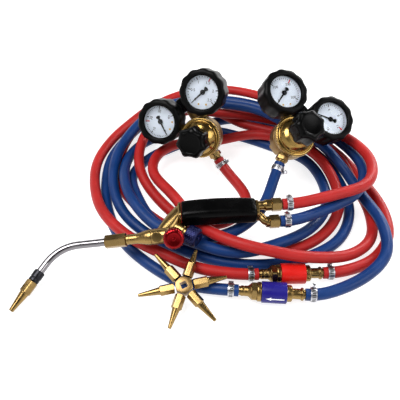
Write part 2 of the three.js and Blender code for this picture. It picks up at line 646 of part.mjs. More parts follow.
function arrestorSleeve() {
  const { sleeveR, coreR, sleeveFrom, sleeveTo } = arrestor;
  return ringOf([
    [coreR + GAP, sleeveFrom], [sleeveR - 0.5, sleeveFrom], [sleeveR, sleeveFrom + 0.5],
    [sleeveR, sleeveTo - 0.5], [sleeveR - 0.5, sleeveTo], [coreR + GAP, sleeveTo],
  ], 18);
}

function flashbackArrestor(gas, enamel) {
  const group = new THREE.Group();
  group.add(piece(`${gas}_arrestor_body`, arrestorBody(), brass));
  group.add(piece(`${gas}_arrestor_sleeve`, arrestorSleeve(), enamel));
  group.rotation.y = Math.PI / 2;
  const outer = new THREE.Group();
  const { at, heading } = arrestorPoses[gas];
  outer.position.set(at[0], at[1], arrestor.z);
  outer.rotation.z = heading * DEG;
  outer.add(group);
  return outer;
}

// ---------------------------------------------------------------- star of spare nozzles
function nozzleStar() {
  const group = new THREE.Group();
  const disc = nut(star.r * 2 * Math.cos(Math.PI / 6), -star.thick / 2, star.thick / 2);
  const hub = piece("nozzle_star_hub", minus(disc, rod(star.hole, -9, 9, 16)), castBrass);
  hub.rotation.z = star.first * DEG;
  group.add(hub);
  const flatR = star.r * Math.cos(Math.PI / 6);
  starReach.forEach((reach, i) => {
    const length = reach - flatR - GAP;
    const spare = piece(
      `spare_nozzle_${i + 1}`,
      nozzle(star.hexFlats, star.hex, length, 1.7, 0.4 + 0.1 * i),
      brass,
    );
    const arm = new THREE.Group();
    spare.rotation.y = Math.PI / 2;
    spare.position.x = flatR + GAP;
    arm.rotation.z = (star.first + 60 * i) * DEG;
    arm.add(spare);
    group.add(arm);
  });
  group.position.set(...starPose.at, star.z);
  group.rotation.x = star.tilt * DEG;
  return group;
}

// ---------------------------------------------------------------- hoses and clips
// One closed skin of octagonal rings that follow the points; every ring keeps a flat side down.
function loft(points, r, sides) {
  const up = new THREE.Vector3(0, 0, 1);
  const rings = points.map((at, i) => {
    const before = i ? at.clone().sub(points[i - 1]).normalize() : new THREE.Vector3();
    const next = i < points.length - 1 ? points[i + 1].clone().sub(at).normalize() : new THREE.Vector3();
    const way = before.add(next).normalize();
    const side = up.clone().cross(way).normalize();
    const top = way.clone().cross(side);
    return Array.from({ length: sides }, (_, k) => {
      const a = ((k + 0.5) / sides) * 2 * Math.PI;
      const out = side.clone().multiplyScalar(r * Math.cos(a));
      return out.addScaledVector(top, r * Math.sin(a)).add(at);
    });
  });
  const faces = [];
  const quad = (a, b, c, d) => faces.push(a, b, c, a, c, d);
  for (let i = 0; i + 1 < rings.length; i++)
    for (let k = 0; k < sides; k++) {
      const m = (k + 1) % sides;
      quad(rings[i][k], rings[i][m], rings[i + 1][m], rings[i + 1][k]);
    }
  const last = rings.at(-1);
  for (let k = 1; k + 1 < sides; k++) {
    faces.push(rings[0][0], rings[0][k + 1], rings[0][k]);
    faces.push(last[0], last[k], last[k + 1]);
  }
  return solid(new THREE.BufferGeometry().setFromPoints(faces));
}

// Centre line: straight lead, a ring at each route point and half way to the next, lead.
function centreLine(start, startWay, route, end, endWay) {
  const lead = (from, way) => from.clone().addScaledVector(way, hose.lead);
  const first = lead(start, startWay);
  const last = lead(end, endWay);
  const between = route.map((p) => new THREE.Vector3(...p));
  const all = [start, first, ...between, last, end];
  const curve = new THREE.CatmullRomCurve3(all, false, "catmullrom", 0.5);
  const line = [start];
  for (let i = 1; i < all.length - 2; i++) {
    line.push(curve.getPoint(i / (all.length - 1)));
    line.push(curve.getPoint((i + 0.5) / (all.length - 1)));
  }
  line.push(last, end);
  return line;
}

// Where a fitting's frame puts a point, and which way it sends a direction.
function seen(object, point, way) {
  object.updateWorldMatrix(true, false);
  return {
    at: new THREE.Vector3(...point).applyMatrix4(object.matrixWorld),
    way: new THREE.Vector3(...way).transformDirection(object.matrixWorld),
  };
}

function hoseClip(name, end) {
  const { rIn, rOut, width, fromEnd, ear } = clip;
  const band = ringOf([[rIn, 0], [rOut, 0], [rOut, width], [rIn, width]], 10);
  const lug = block(-ear, ear, rOut - 0.5, rOut + 2.8, 1, width - 1);
  const slot = block(-0.6, 0.6, rOut + 0.6, rOut + 5, 0, width);
  const made = minus(union(band, lug), slot);
  const at = end.at.clone().addScaledVector(end.way, fromEnd);
  return piece(name, along(made, at.toArray(), end.way.toArray()), steel);
}

function lineLength(line) {
  return line.reduce((sum, p, i) => (i ? sum + p.distanceTo(line[i - 1]) : 0), 0);
}

// Least distance between two skins, measured on points a few millimetres apart.
function leastGap(a, b) {
  const dense = (line) => {
    let run = 0;
    const out = [];
    for (let i = 0; i + 1 < line.length; i++) {
      const steps = Math.ceil(line[i].distanceTo(line[i + 1]) / 4);
      for (let k = 0; k < steps; k++) {
        const p = line[i].clone().lerp(line[i + 1], k / steps);
        out.push({ p, s: run + (line[i].distanceTo(line[i + 1]) * k) / steps });
      }
      run += line[i].distanceTo(line[i + 1]);
    }
    return out;
  };
  let least = Infinity;
  const first = dense(a);
  const second = a === b ? first : dense(b);
  for (const u of first)
    for (const v of second) {
      if (a === b && Math.abs(u.s - v.s) < 60) continue;
      least = Math.min(least, u.p.distanceTo(v.p));
    }
  return least - 2 * hose.r;
}

// ---------------------------------------------------------------- assembly
const layout = new THREE.Group();
layout.position.set(SHIFT.x, SHIFT.y, SHIFT.z);

const regulators = {};
for (const gas of ["acetylene", "oxygen"]) {
  regulators[gas] = regulator(gas);
  layout.add(posed(regulators[gas], regulatorPoses[gas]));
}
const torchGroup = torch();
layout.add(torchGroup);
const arrestors = {
  acetylene: flashbackArrestor("acetylene", redEnamel),
  oxygen: flashbackArrestor("oxygen", blueEnamel),
};
layout.add(arrestors.acetylene, arrestors.oxygen);
layout.add(nozzleStar());

// The hoses are made in the layout's own frame, so the shift is taken back off their ends.
const rootward = new THREE.Vector3(SHIFT.x, SHIFT.y, SHIFT.z);
const endOf = (object, point, way) => {
  const found = seen(object, point, way);
  found.at.sub(rootward);
  return found;
};
const outletOf = (gas) => endOf(regulators[gas], [0, -outletEnd, port.z], [0, -1, 0]);
const arrestorEnd = (gas, far) =>
  endOf(arrestors[gas], [far ? arrestor.length : 0, 0, 0], [far ? 1 : -1, 0, 0]);
const torchEnd = (spot) => endOf(torchGroup, [inletEnd(spot), spot.y, spot.z], [1, 0, 0]);

const runs = [
  ["acetylene_supply_hose", redRubber, outletOf("acetylene"), supplyRed, arrestorEnd("acetylene", true)],
  ["oxygen_supply_hose", blueRubber, outletOf("oxygen"), supplyBlue, arrestorEnd("oxygen", true)],
  ["acetylene_torch_hose", redRubber, arrestorEnd("acetylene", false), torchRed, torchEnd(redInlet)],
  ["oxygen_torch_hose", blueRubber, arrestorEnd("oxygen", false), torchBlue, torchEnd(blueInlet)],
];
const lines = runs.map(([name, rubber, from, route, to]) => {
  const line = centreLine(from.at, from.way, route, to.at, to.way);
  layout.add(piece(name, loft(line, hose.r, hose.sides), rubber));
  layout.add(hoseClip(`${name}_clip_a`, from), hoseClip(`${name}_clip_b`, to));
  console.log(name, "length", lineLength(line).toFixed(0), "mm");
  return line;
});
lines.forEach((a, i) =>
  lines.slice(i).forEach((b, j) =>
    console.log("least gap", runs[i][0], runs[i + j][0], leastGap(a, b).toFixed(2), "mm"),
  ),
);

const root = new THREE.Group();
root.name = "oxy_acetylene_welding_set";
root.add(layout);
export default root;
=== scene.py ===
# Oxy-acetylene welding set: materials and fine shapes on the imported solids. Metres, +Z up.
# Shapes are written in millimetres in each fitting's own frame and placed by one matrix.
import math

import bmesh
import bpy
from mathutils import Matrix, Vector


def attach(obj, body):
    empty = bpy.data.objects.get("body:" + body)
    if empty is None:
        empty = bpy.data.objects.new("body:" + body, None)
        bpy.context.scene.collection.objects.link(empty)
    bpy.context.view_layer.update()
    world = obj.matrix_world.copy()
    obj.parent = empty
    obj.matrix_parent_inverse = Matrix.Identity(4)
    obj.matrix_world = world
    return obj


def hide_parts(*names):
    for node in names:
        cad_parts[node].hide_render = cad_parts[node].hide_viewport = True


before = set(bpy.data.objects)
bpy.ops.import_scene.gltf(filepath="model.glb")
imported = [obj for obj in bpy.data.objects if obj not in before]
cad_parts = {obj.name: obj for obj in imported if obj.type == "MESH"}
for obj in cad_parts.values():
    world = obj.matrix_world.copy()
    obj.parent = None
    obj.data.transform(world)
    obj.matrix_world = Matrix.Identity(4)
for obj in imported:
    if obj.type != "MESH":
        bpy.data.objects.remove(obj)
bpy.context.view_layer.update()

scene = bpy.context.scene
TAU = 2 * math.pi
SHIFT = Vector((4.31, 2.81, 0))  # from the lay-out's own origin to the frame's

# ---------------------------------------------------------------- camera
# Fitted to the photograph: it looks down at the set from 0.6 m away.
LENS_MM, SENSOR_MM, TILT = 48.24, 36, 43
view = bpy.data.cameras.new("camera")
view.lens, view.sensor_width = LENS_MM, SENSOR_MM
camera = bpy.data.objects.new("camera", view)
scene.collection.objects.link(camera)
camera.location = (0.00431, -0.39719, 0.455)
camera.rotation_euler = (math.radians(TILT), 0, 0)
scene.camera = camera


# ---------------------------------------------------------------- frames of the fittings
def turn(axis, degrees):
    return Matrix.Rotation(math.radians(degrees), 4, axis)


def place(x, y, z, *turns):
    at = Matrix.Translation(Vector((x, y, z)) + SHIFT)
    for t in turns:
        at = at @ t
    return at


REGULATOR = {
    "acetylene": place(1.2, 76, 51, turn("Z", -18), turn("X", 60.5), turn("Z", 43.4)),
    "oxygen": place(104.9, 60, 65, turn("Z", 27), turn("X", 35), turn("Z", -47.6)),
}
TORCH = place(-18.9, -37.2, 45, turn("Z", 3.74))
ARRESTOR = {
    "acetylene": place(58.5, -88.1, 11.5, turn("Z", 1.4)),
    "oxygen": place(37.6, -107.3, 11.5, turn("Z", -4.1)),
}
STAR = place(-15.5, -107.5, 19.5, turn("X", 18))


# ---------------------------------------------------------------- materials
def put(tree, socket, value):
    """Feeds a socket from another node's socket, or sets it to a plain value."""
    if isinstance(value, bpy.types.NodeSocket):
        tree.links.new(value, socket)
    else:
        socket.default_value = value


def node(tree, kind, **settings):
    made = tree.nodes.new(kind)
    for key, value in settings.items():
        if key in made.inputs:
            put(tree, made.inputs[key], value)
        else:
            setattr(made, key, value)
    return made


def maths(tree, operation, *values):
    made = node(tree, "ShaderNodeMath", operation=operation)
    for socket, value in zip(made.inputs, values):
        put(tree, socket, value)
    return made.outputs[0]


def noise(tree, where, scale, detail):
    made = node(tree, "ShaderNodeTexNoise", Scale=scale, Detail=detail, Roughness=0.55, Vector=where)
    return made.outputs["Fac"]


def ramp(tree, value, low, high, a, b):
    ends = {"From Min": low, "From Max": high, "To Min": a, "To Max": b}
    return node(tree, "ShaderNodeMapRange", Value=value, **ends).outputs["Result"]


def mix(tree, share, a, b):
    """Colour a going over to colour b."""
    share_at, a_at, b_at, mixed_at = 0, 6, 7, 2  # the sockets of a colour mix
    made = node(tree, "ShaderNodeMix", data_type="RGBA")
    for socket, value in ((share_at, share), (a_at, a), (b_at, b)):
        put(tree, made.inputs[socket], value)
    return made.outputs[mixed_at]


def tinted(colour, by, lift=0.0):
    return (*[min(1, c * by + lift) for c in colour], 1)


RIB_PITCH = 1.7  # mm between the cords that show through a hose
NOISE_LOW, NOISE_HIGH = 0.3, 0.7  # nearly all of a noise lies between these


def material(name, colour, rough, metal, shade, grain, bump, depth=0.00006, turned=0.0, edge=0.0,
             specular=0.5, wander=0.08, mottle=60, ribs=0.0):
    """A finish with mottling and grain. turned adds a lathe's rings, edge the wear on edges, ribs the
    cords under a hose's skin. depth is the bump's, in metres, and the roughness strays by wander."""
    made = bpy.data.materials.new(name)
    made.use_nodes = True
    tree = made.node_tree
    where = node(tree, "ShaderNodeTexCoord").outputs["Object"]
    # Slow mottling and a finer grain share the colour between them.
    slow, fine = noise(tree, where, mottle, 4), noise(tree, where, grain, 2)
    both = maths(tree, "ADD", ramp(tree, slow, NOISE_LOW, NOISE_HIGH, 0, 0.6),
                 ramp(tree, fine, NOISE_LOW, NOISE_HIGH, 0, 0.4))
    out = mix(tree, both, tinted(colour, 1 - shade), tinted(colour, 1 + shade))
    if edge:
        # Handled edges are a little brighter than the faces.
        pointed = node(tree, "ShaderNodeNewGeometry").outputs["Pointiness"]
        out = mix(tree, ramp(tree, pointed, 0.51, 0.6, 0, edge), out, tinted(colour, 1.4, 0.04))
    height = fine
    if turned or ribs:
        run = node(tree, "ShaderNodeAttribute", attribute_name="lathe").outputs["Fac"]
    if turned:
        rings = node(tree, "ShaderNodeTexNoise", noise_dimensions="1D", W=run, Scale=7.0, Detail=3.0)
        height = maths(tree, "MULTIPLY_ADD", rings.outputs["Fac"], turned, height)
    if ribs:
        wave = maths(tree, "SINE", maths(tree, "MULTIPLY", run, TAU / RIB_PITCH))
        height = maths(tree, "MULTIPLY_ADD", wave, ribs, height)
    bumped = node(tree, "ShaderNodeBump", Strength=bump, Distance=depth, Height=height)
    shader = tree.nodes["Principled BSDF"]
    for label, value in (
        ("Base Color", out), ("Metallic", metal), ("Specular IOR Level", specular),
        ("Roughness", ramp(tree, slow, NOISE_LOW, NOISE_HIGH, max(0.02, rough - wander), rough + wander)),
        ("Normal", bumped.outputs["Normal"]),
    ):
        put(tree, shader.inputs[label], value)
    return made


BRASS = material("polished_brass", (0.285, 0.185, 0.066), 0.25, 1, 0.18, 700, 0.25, turned=1.0, edge=0.2)
GOLD = material("bright_brass", (0.335, 0.215, 0.065), 0.21, 1, 0.16, 600, 0.2, turned=1.0, edge=0.2)
CAST = material("forged_brass", (0.25, 0.154, 0.055), 0.36, 1, 0.3, 1100, 0.4, 0.0001, edge=0.3, mottle=90)
STEEL = material("bright_steel", (0.52, 0.52, 0.55), 0.32, 1, 0.12, 800, 0.2, turned=1.0, edge=0.2)
CHROME = material("chromed_pipe", (0.22, 0.21, 0.22), 0.14, 1, 0.12, 500, 0.1)
# Blued steel, and also the painted shade in the clips' slots.
DARK = material("blued_steel_and_slot_shade", (0.02, 0.02, 0.023), 0.3, 1, 0.3, 700, 0.2, turned=1.0, edge=0.3)
BLACK = (0.0015, 0.0015, 0.0016)
PLASTIC = material("black_plastic", BLACK, 0.22, 0, 0.4, 1600, 0.25, specular=0.08, edge=0.03)
SATIN = material("grip_plastic", BLACK, 0.25, 0, 0.4, 2200, 0.3, 0.00005, specular=0.07, edge=0.02)
BOOT = material("boot_rubber", BLACK, 0.34, 0, 0.45, 1300, 0.4, 0.0001, specular=0.07, edge=0.03)
RED = material("red_rubber", (0.36, 0.012, 0.011), 0.46, 0, 0.22, 1500, 0.6, 0.00014, specular=0.22,
               mottle=45, ribs=0.3)
BLUE = material("blue_rubber", (0.002, 0.028, 0.132), 0.42, 0, 0.26, 1500, 0.6, 0.00014, specular=0.24,
                mottle=45, ribs=0.3)
RED_LABEL = material("red_enamel", (0.56, 0.01, 0.007), 0.3, 0, 0.08, 900, 0.15, specular=0.25)
BLUE_LABEL = material("blue_enamel", (0.012, 0.009, 0.16), 0.26, 0, 0.12, 900, 0.15, specular=0.25)
RED_KNOB = material("red_anodised", (0.2, 0.001, 0.003), 0.16, 0.85, 0.3, 700, 0.2, edge=0.1)
NAVY_KNOB = material("navy_anodised", (0.003, 0.005, 0.045), 0.24, 0.7, 0.3, 700, 0.25, edge=0.08)
WHITE = material("dial_white", (0.84, 0.89, 0.97), 0.4, 0, 0.025, 500, 0.05)
INK = material("dial_black", (0.003, 0.003, 0.004), 0.5, 0, 0.3, 900, 0.1, specular=0.1)
DIAL_RED = material("dial_red", (0.7, 0.02, 0.015), 0.45, 0, 0.1, 900, 0.1)
DIAL_GOLD = material("dial_gold", (0.7, 0.42, 0.06), 0.45, 0, 0.1, 900, 0.1)
PRINT = material("white_print", (0.85, 0.85, 0.87), 0.45, 0, 0.04, 900, 0.1)

LENS = bpy.data.materials.new("gauge_lens")
LENS.use_nodes = True
for label, value in (("Base Color", (0.97, 0.985, 1, 1)), ("Roughness", 0.03), ("IOR", 1.3),
                     ("Transmission Weight", 1.0)):
    LENS.node_tree.nodes["Principled BSDF"].inputs[label].default_value = value


# ---------------------------------------------------------------- what repeats or follows a rule
def new_tree(name, **sizes):
    """A geometry tree with a named input for each size, and those inputs."""
    tree = bpy.data.node_groups.new(name, "GeometryNodeTree")
    kinds = {int: "NodeSocketInt", float: "NodeSocketFloat"}
    sockets = tree.interface
    sockets.new_socket("Geometry", in_out="INPUT", socket_type="NodeSocketGeometry")
    for label, value in sizes.items():
        size = sockets.new_socket(label, in_out="INPUT", socket_type=kinds[type(value)])
        size.default_value = value
    sockets.new_socket("Skin", in_out="INPUT", socket_type="NodeSocketMaterial")
    sockets.new_socket("Geometry", in_out="OUTPUT", socket_type="NodeSocketGeometry")
    return tree, node(tree, "NodeGroupInput").outputs


def end_tree(tree, geometry, skin):
    """Ends a tree: instances made real, then the skin laid on."""
    real = node(tree, "GeometryNodeRealizeInstances", Geometry=geometry).outputs["Geometry"]
    skinned = node(tree, "GeometryNodeSetMaterial", Geometry=real, Material=skin).outputs["Geometry"]
    node(tree, "NodeGroupOutput", Geometry=skinned)


def round_z(tree, angle, r, z):
    """The vector r out from Z at angle, and z up."""
    return node(tree, "ShaderNodeCombineXYZ", Z=z,
                X=maths(tree, "MULTIPLY", maths(tree, "COSINE", angle), r),
                Y=maths(tree, "MULTIPLY", maths(tree, "SINE", angle), r)).outputs[0]


def marks_tree():
    """Flat bars laid along an arc round Z, each pointing at the axis: dial marks, the painted shade in a
    band's slots.
    """
    tree, given = new_tree("marks_on_an_arc", Count=2, Radius=10.0, First=0.0, Sweep=1.0, Length=1.0,
                           Width=0.5, Thick=0.1, Height=0.0)
    line = node(tree, "GeometryNodeMeshLine", mode="OFFSET", Count=given["Count"], Offset=(0, 0, 0))
    steps = maths(tree, "MAXIMUM", maths(tree, "SUBTRACT", given["Count"], 1), 1)
    share = maths(tree, "DIVIDE", node(tree, "GeometryNodeInputIndex").outputs[0], steps)
    angle = maths(tree, "ADD", given["First"], maths(tree, "MULTIPLY", share, given["Sweep"]))
    spots = node(tree, "GeometryNodeSetPosition", Geometry=line.outputs["Mesh"],
                 Position=round_z(tree, angle, given["Radius"], given["Height"]))
    size = node(tree, "ShaderNodeCombineXYZ", X=given["Length"], Y=given["Width"], Z=given["Thick"])
    bar = node(tree, "GeometryNodeMeshCube", Size=size.outputs[0])
    laid = node(tree, "GeometryNodeInstanceOnPoints", Points=spots.outputs["Geometry"],
                Instance=bar.outputs["Mesh"], Rotation=node(tree, "ShaderNodeCombineXYZ", Z=angle).outputs[0])
    end_tree(tree, laid.outputs["Instances"], given["Skin"])
    return tree


def lobes_tree():
    """Raises a turned skin in Count lobes round Z, each point by its own share of Depth. With a
    Twist, in radians for each millimetre up, two slants cross and the lobes become a knurl."""
    tree, given = new_tree("raised_lobes", Count=7, Depth=1.0, Sharpness=1.0, Twist=0.0)
    spot = node(tree, "GeometryNodeInputPosition").outputs[0]
    x, y, z = node(tree, "ShaderNodeSeparateXYZ", Vector=spot).outputs
    angle = maths(tree, "ARCTAN2", y, x)
    half = maths(tree, "MULTIPLY", maths(tree, "MULTIPLY", given["Count"], 0.5), angle)
    slant = maths(tree, "MULTIPLY", given["Twist"], z)
    waves = [maths(tree, "ABSOLUTE", maths(tree, "COSINE", maths(tree, way, half, slant)))
             for way in ("ADD", "SUBTRACT")]
    raised = maths(tree, "POWER", maths(tree, "MULTIPLY", *waves), given["Sharpness"])
    share = node(tree, "GeometryNodeInputNamedAttribute", data_type="FLOAT", Name="share")
    out = maths(tree, "MULTIPLY", maths(tree, "MULTIPLY", raised, given["Depth"]), share.outputs["Attribute"])
    pushed = node(tree, "GeometryNodeSetPosition", Geometry=given["Geometry"],
                  Offset=round_z(tree, angle, out, 0))
    end_tree(tree, pushed.outputs["Geometry"], given["Skin"])
    return tree


MARKS, LOBES = marks_tree(), lobes_tree()


def grown(tree, mesh, skin, **sizes):
    """The shell that a tree makes of a mesh."""
    sizes["Skin"] = skin
    thing = bpy.data.objects.new(tree.name, mesh)
    scene.collection.objects.link(thing)
    growth = thing.modifiers.new(tree.name, "NODES")
    growth.node_group = tree
    for socket in tree.interface.items_tree:
        if socket.in_out == "INPUT" and socket.name in sizes:
            growth[socket.identifier] = sizes[socket.name]
    out = bpy.data.meshes.new_from_object(thing.evaluated_get(bpy.context.evaluated_depsgraph_get()))
    thing.modifiers.remove(growth)
    run = out.attributes.get("lathe")
    shell = ([tuple(v.co) for v in out.vertices], [tuple(p.vertices) for p in out.polygons],
             [value.value for value in run.data] if run else [0] * len(out.vertices))
    bpy.data.objects.remove(thing)
    for spent in (mesh, out):
        bpy.data.meshes.remove(spent)
    return shell


def marks(skin, **sizes):
    return grown(MARKS, bpy.data.meshes.new("marks"), skin, **sizes)


def lobed(rings, n, skin, closed=False, **sizes):
    """Rings of (r, z, share) turned round Z and raised in lobes. A ring without a share stays."""
    points, faces, run = spin([ring[:2] for ring in rings], n, closed)
    shares = []
    for ring in rings:
        shares += [ring[2] if len(ring) > 2 else 0.0] * (1 if ring[0] < ON_AXIS else n)
    mesh = bpy.data.meshes.new("lobes")
    mesh.from_pydata(points, [], faces)
    for label, values in (("share", shares), ("lathe", run)):
        mesh.attributes.new(label, "FLOAT", "POINT").data.foreach_set("value", values)
    return grown(LOBES, mesh, skin, **sizes)


# ---------------------------------------------------------------- shells, in millimetres
# A shell is (points, faces, run): run is how far along its turning or its line each point is,
# and becomes the attribute "lathe" that the finishes read for their rings and ribs.
ON_AXIS = 1e-6  # a ring narrower than this is one point
POLE_STEP = 0.7  # from one point on the axis to the next in run
CORNER_STEPS = 3  # pieces of an eased corner


def on_circle(degrees, r):
    return r * math.cos(math.radians(degrees)), r * math.sin(math.radians(degrees))


def spin(rings, n, closed=False):
    """Turns rings round Z. A ring is (r, z), or a function from the angle to (r, z)."""
    points, faces, run, rows = [], [], [], []
    for index, ring in enumerate(rings):
        if not callable(ring) and ring[0] < ON_AXIS:
            rows.append([len(points)])
            points.append((0, 0, ring[1]))
            run.append(index * POLE_STEP)
            continue
        row = []
        for k in range(n):
            a = TAU * k / n
            r, z = ring(a) if callable(ring) else ring
            row.append(len(points))
            points.append((r * math.cos(a), r * math.sin(a), z))
            run.append(z + r)
        rows.append(row)
    for a, b in zip(rows, rows[1:] + rows[:1] if closed else rows[1:]):
        for k in range(n):
            m = (k + 1) % n
            if len(a) == 1:
                faces.append((a[0], b[m], b[k]))
            elif len(b) == 1:
                faces.append((a[k], a[m], b[0]))
            else:
                faces.append((a[k], a[m], b[m], b[k]))
    return points, faces, run


def eased(profile, r, closed):
    """The profile with each corner rounded off."""
    out = []
    for i, point in enumerate(profile):
        if not closed and i in (0, len(profile) - 1):
            out.append(point)
            continue
        here = Vector(point)
        back = Vector(profile[i - 1]) - here
        on = Vector(profile[(i + 1) % len(profile)]) - here
        cut = min(r, back.length * 0.45, on.length * 0.45)
        first, last = here + back.normalized() * cut, here + on.normalized() * cut
        for k in range(CORNER_STEPS + 1):
            t = k / CORNER_STEPS
            out.append(tuple((1 - t) ** 2 * first + 2 * t * (1 - t) * here + t * t * last))
    return out


def lathe(profile, r, n, closed=False):
    return spin(eased(profile, r, closed), n, closed)


def hexed(flats, a):
    """Distance from the axis to a hexagon's side, with its corners a little blunt."""
    across = flats / 2
    turned = (a + math.pi / 6) % (math.pi / 3) - math.pi / 6
    return min(across / math.cos(turned), across / math.cos(math.pi / 6) * 0.985)


def corner_cut(flats, z, inner, sign):
    """A hexagon's edge where a cone takes its corners off, as turning does."""
    def ring(a):
        r = hexed(flats, a)
        return r, z + sign * (r - inner) * 0.55
    return ring


def nut(flats, z0, z1, bore=None, n=72):
    """A hexagon nut. Its bore is a radius, or a function from the angle to one."""
    inner = flats / 2 - 0.25
    rings = [(inner, z0), corner_cut(flats, z0, inner, 1), corner_cut(flats, z1, inner, -1), (inner, z1)]
    if callable(bore):
        return spin([lambda a: (bore(a), z0), *rings, lambda a: (bore(a), z1)], n, closed=True)
    if bore:
        return spin([(bore, z0), *rings, (bore, z1)], n, closed=True)
    return spin([(0, z0), *rings, (0, z1)], n)


def box(x0, x1, y0, y1, z0, z1, ease):
    """A block with chamfered edges."""
    made = bmesh.new()
    bmesh.ops.create_cube(made, size=1)
    for v in made.verts:
        v.co = Vector((
            x0 + (v.co.x + 0.5) * (x1 - x0), y0 + (v.co.y + 0.5) * (y1 - y0),
            z0 + (v.co.z + 0.5) * (z1 - z0)))
    bmesh.ops.bevel(made, geom=made.edges[:], offset=ease, segments=2, affect="EDGES")
    made.verts.index_update()
    shell = ([tuple(v.co) for v in made.verts], [tuple(v.index for v in f.verts) for f in made.faces],
             [v.co.x + v.co.y for v in made.verts])
    made.free()
    return shell


def slab(outline, z0, z1):
    """A flat plate from an outline of [x, y] points."""
    n = len(outline)
    points = [(x, y, z) for z in (z0, z1) for x, y in outline]
    sides = [(k, (k + 1) % n, n + (k + 1) % n, n + k) for k in range(n)]
    return points, [tuple(range(n))[::-1], tuple(range(n, 2 * n)), *sides], [0] * (2 * n)


def tube(line, r, n, lowest=None):
    """A round skin along a line, closed at both ends. Its rings turn as little as they can, and no
    point lies under lowest."""
    points, faces, run = [], [], []
    side, s = None, 0.0
    for i, at in enumerate(line):
        ahead = line[min(i + 1, len(line) - 1)] - line[max(i - 1, 0)]
        way = ahead.normalized()
        if side is None:
            side = way.cross(Vector((0, 0, 1)) if abs(way.z) < 0.9 else Vector((1, 0, 0)))
        side = (side - way * side.dot(way)).normalized()
        top = side.cross(way)
        s += (at - line[i - 1]).length if i else 0
        for k in range(n):
            a = TAU * k / n
            p = at + side * (r * math.cos(a)) + top * (r * math.sin(a))
            if lowest is not None:
                p.z = max(p.z, lowest)
            points.append(tuple(p))
            run.append(s)
    for i in range(len(line) - 1):
        for k in range(n):
            m = (k + 1) % n
            faces.append((i * n + k, i * n + m, (i + 1) * n + m, (i + 1) * n + k))
    last = (len(line) - 1) * n
    faces += [tuple(range(n))[::-1], tuple(range(last, last + n))]
    return points, faces, run


def moved(shell, matrix):
    return [tuple(matrix @ Vector(p)) for p in shell[0]], shell[1], shell[2]


def along(shell, start, way):
    """A shell made along Z, swung to run along way from start."""
    swing = Vector((0, 0, 1)).rotation_difference(Vector(way).normalized()).to_matrix().to_4x4()
    return moved(shell, Matrix.Translation(Vector(start)) @ swing)


def letters(text, size, x, y, z):
    """A number as a thin raised shell."""
    curve = bpy.data.curves.new("number", "FONT")
    curve.body, curve.size, curve.extrude = text, size, 0.03
    curve.align_x, curve.align_y = "CENTER", "CENTER"
    thing = bpy.data.objects.new("number", curve)
    scene.collection.objects.link(thing)
    bpy.context.view_layer.update()
    mesh = bpy.data.meshes.new_from_object(thing)
    shell = ([tuple(v.co) for v in mesh.vertices], [tuple(p.vertices) for p in mesh.polygons],
             [0] * len(mesh.vertices))
    bpy.data.objects.remove(thing)
    bpy.data.curves.remove(curve)
    bpy.data.meshes.remove(mesh)
    return moved(shell, Matrix.Translation((x, y, z)))


def build(name, shells, skin, body, at=None, stands_for=None, sharp=38, outward=True):
    """Joins shells into one piece, sets it in the model's frame and lets it ride on its body. sharp
    is the angle in degrees past which an edge isn't smoothed, outward turns every face to the
    outside: numbers and dial marks come with theirs right."""
    made = bmesh.new()
    mark = made.verts.layers.float.new("lathe")
    for points, faces, run in shells:
        part = [made.verts.new(p) for p in points]
        for v, value in zip(part, run):
            v[mark] = value
        walls = [made.faces.new([part[k] for k in face]) for face in faces]
        if outward:
            bmesh.ops.recalc_face_normals(made, faces=walls)
    mesh = bpy.data.meshes.new(name)
    made.to_mesh(mesh)
    made.free()
    mesh.transform(Matrix.Scale(0.001, 4) @ (at or Matrix.Identity(4)))
    mesh.materials.append(skin)
    mesh.polygons.foreach_set("use_smooth", [True] * len(mesh.polygons))
    mesh.set_sharp_from_angle(angle=math.radians(sharp))
    thing = bpy.data.objects.new(name, mesh)
    scene.collection.objects.link(thing)
    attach(thing, body)
    if stands_for:
        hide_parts(stands_for)
    return thing


# ---------------------------------------------------------------- hoses
HOSE_R = 5.95
LEAD = 14  # a hose leaves its fitting straight for this far
CURVE_STEPS = 8  # pieces of the curve from one route point to the next
# Points of each hose's centre line between its two leads, the same as in the part's source.
SUPPLY_RED = [
    (52.5, 17.5, 14), (43, -7.5, 12.5), (21, -21.5, 11), (-16, -19, 11.5), (-55, 24.5, 13.5),
    (-72.5, 63.5, 20), (-70, 107, 23), (-57.5, 148.5, 12.5), (-26, 173, 12), (14.5, 167.5, 21),
    (52.5, 148.5, 13), (91.5, 130, 15.5), (131, 113.5, 18.5), (164.5, 87, 17), (180, 46, 7.5),
    (190, 3, 6), (183, -39.5, 9), (153, -68, 16.5), (111, -78, 26), (68.5, -75.5, 33.5),
    (27.5, -62, 34.6), (-4.5, -33.5, 27.4), (-29, 3, 30.5), (-54, 43.5, 24), (-51, 79.5, 20.5),
    (-25.5, 104, 17.5), (20.5, 111.5, 14.7), (63, 120.5, 18), (104.5, 111, 19), (139, 85, 17.5),
    (155, 45.5, 15), (155.5, 2, 11.5), (133, -34, 8), (95, -53.5, 5.5), (52, -52, 7),
    (9.5, -42.5, 5.5), (-30.5, -25, 6), (-64.5, 3.5, 5.5), (-91.5, 37, 6.5), (-98.5, 80, 11),
    (-87, 121.5, 17.5), (-60.5, 155, 24.5), (-19.5, 165, 24.5), (21.5, 151, 28),
    (65.5, 147.5, 26), (107.5, 137.5, 21.5), (146, 119.5, 12.5), (175, 89.5, 6.5),
    (192.5, 49.5, 5.5), (205.5, 8, 6), (203, -35, 6.5), (177, -69, 7.5),
]
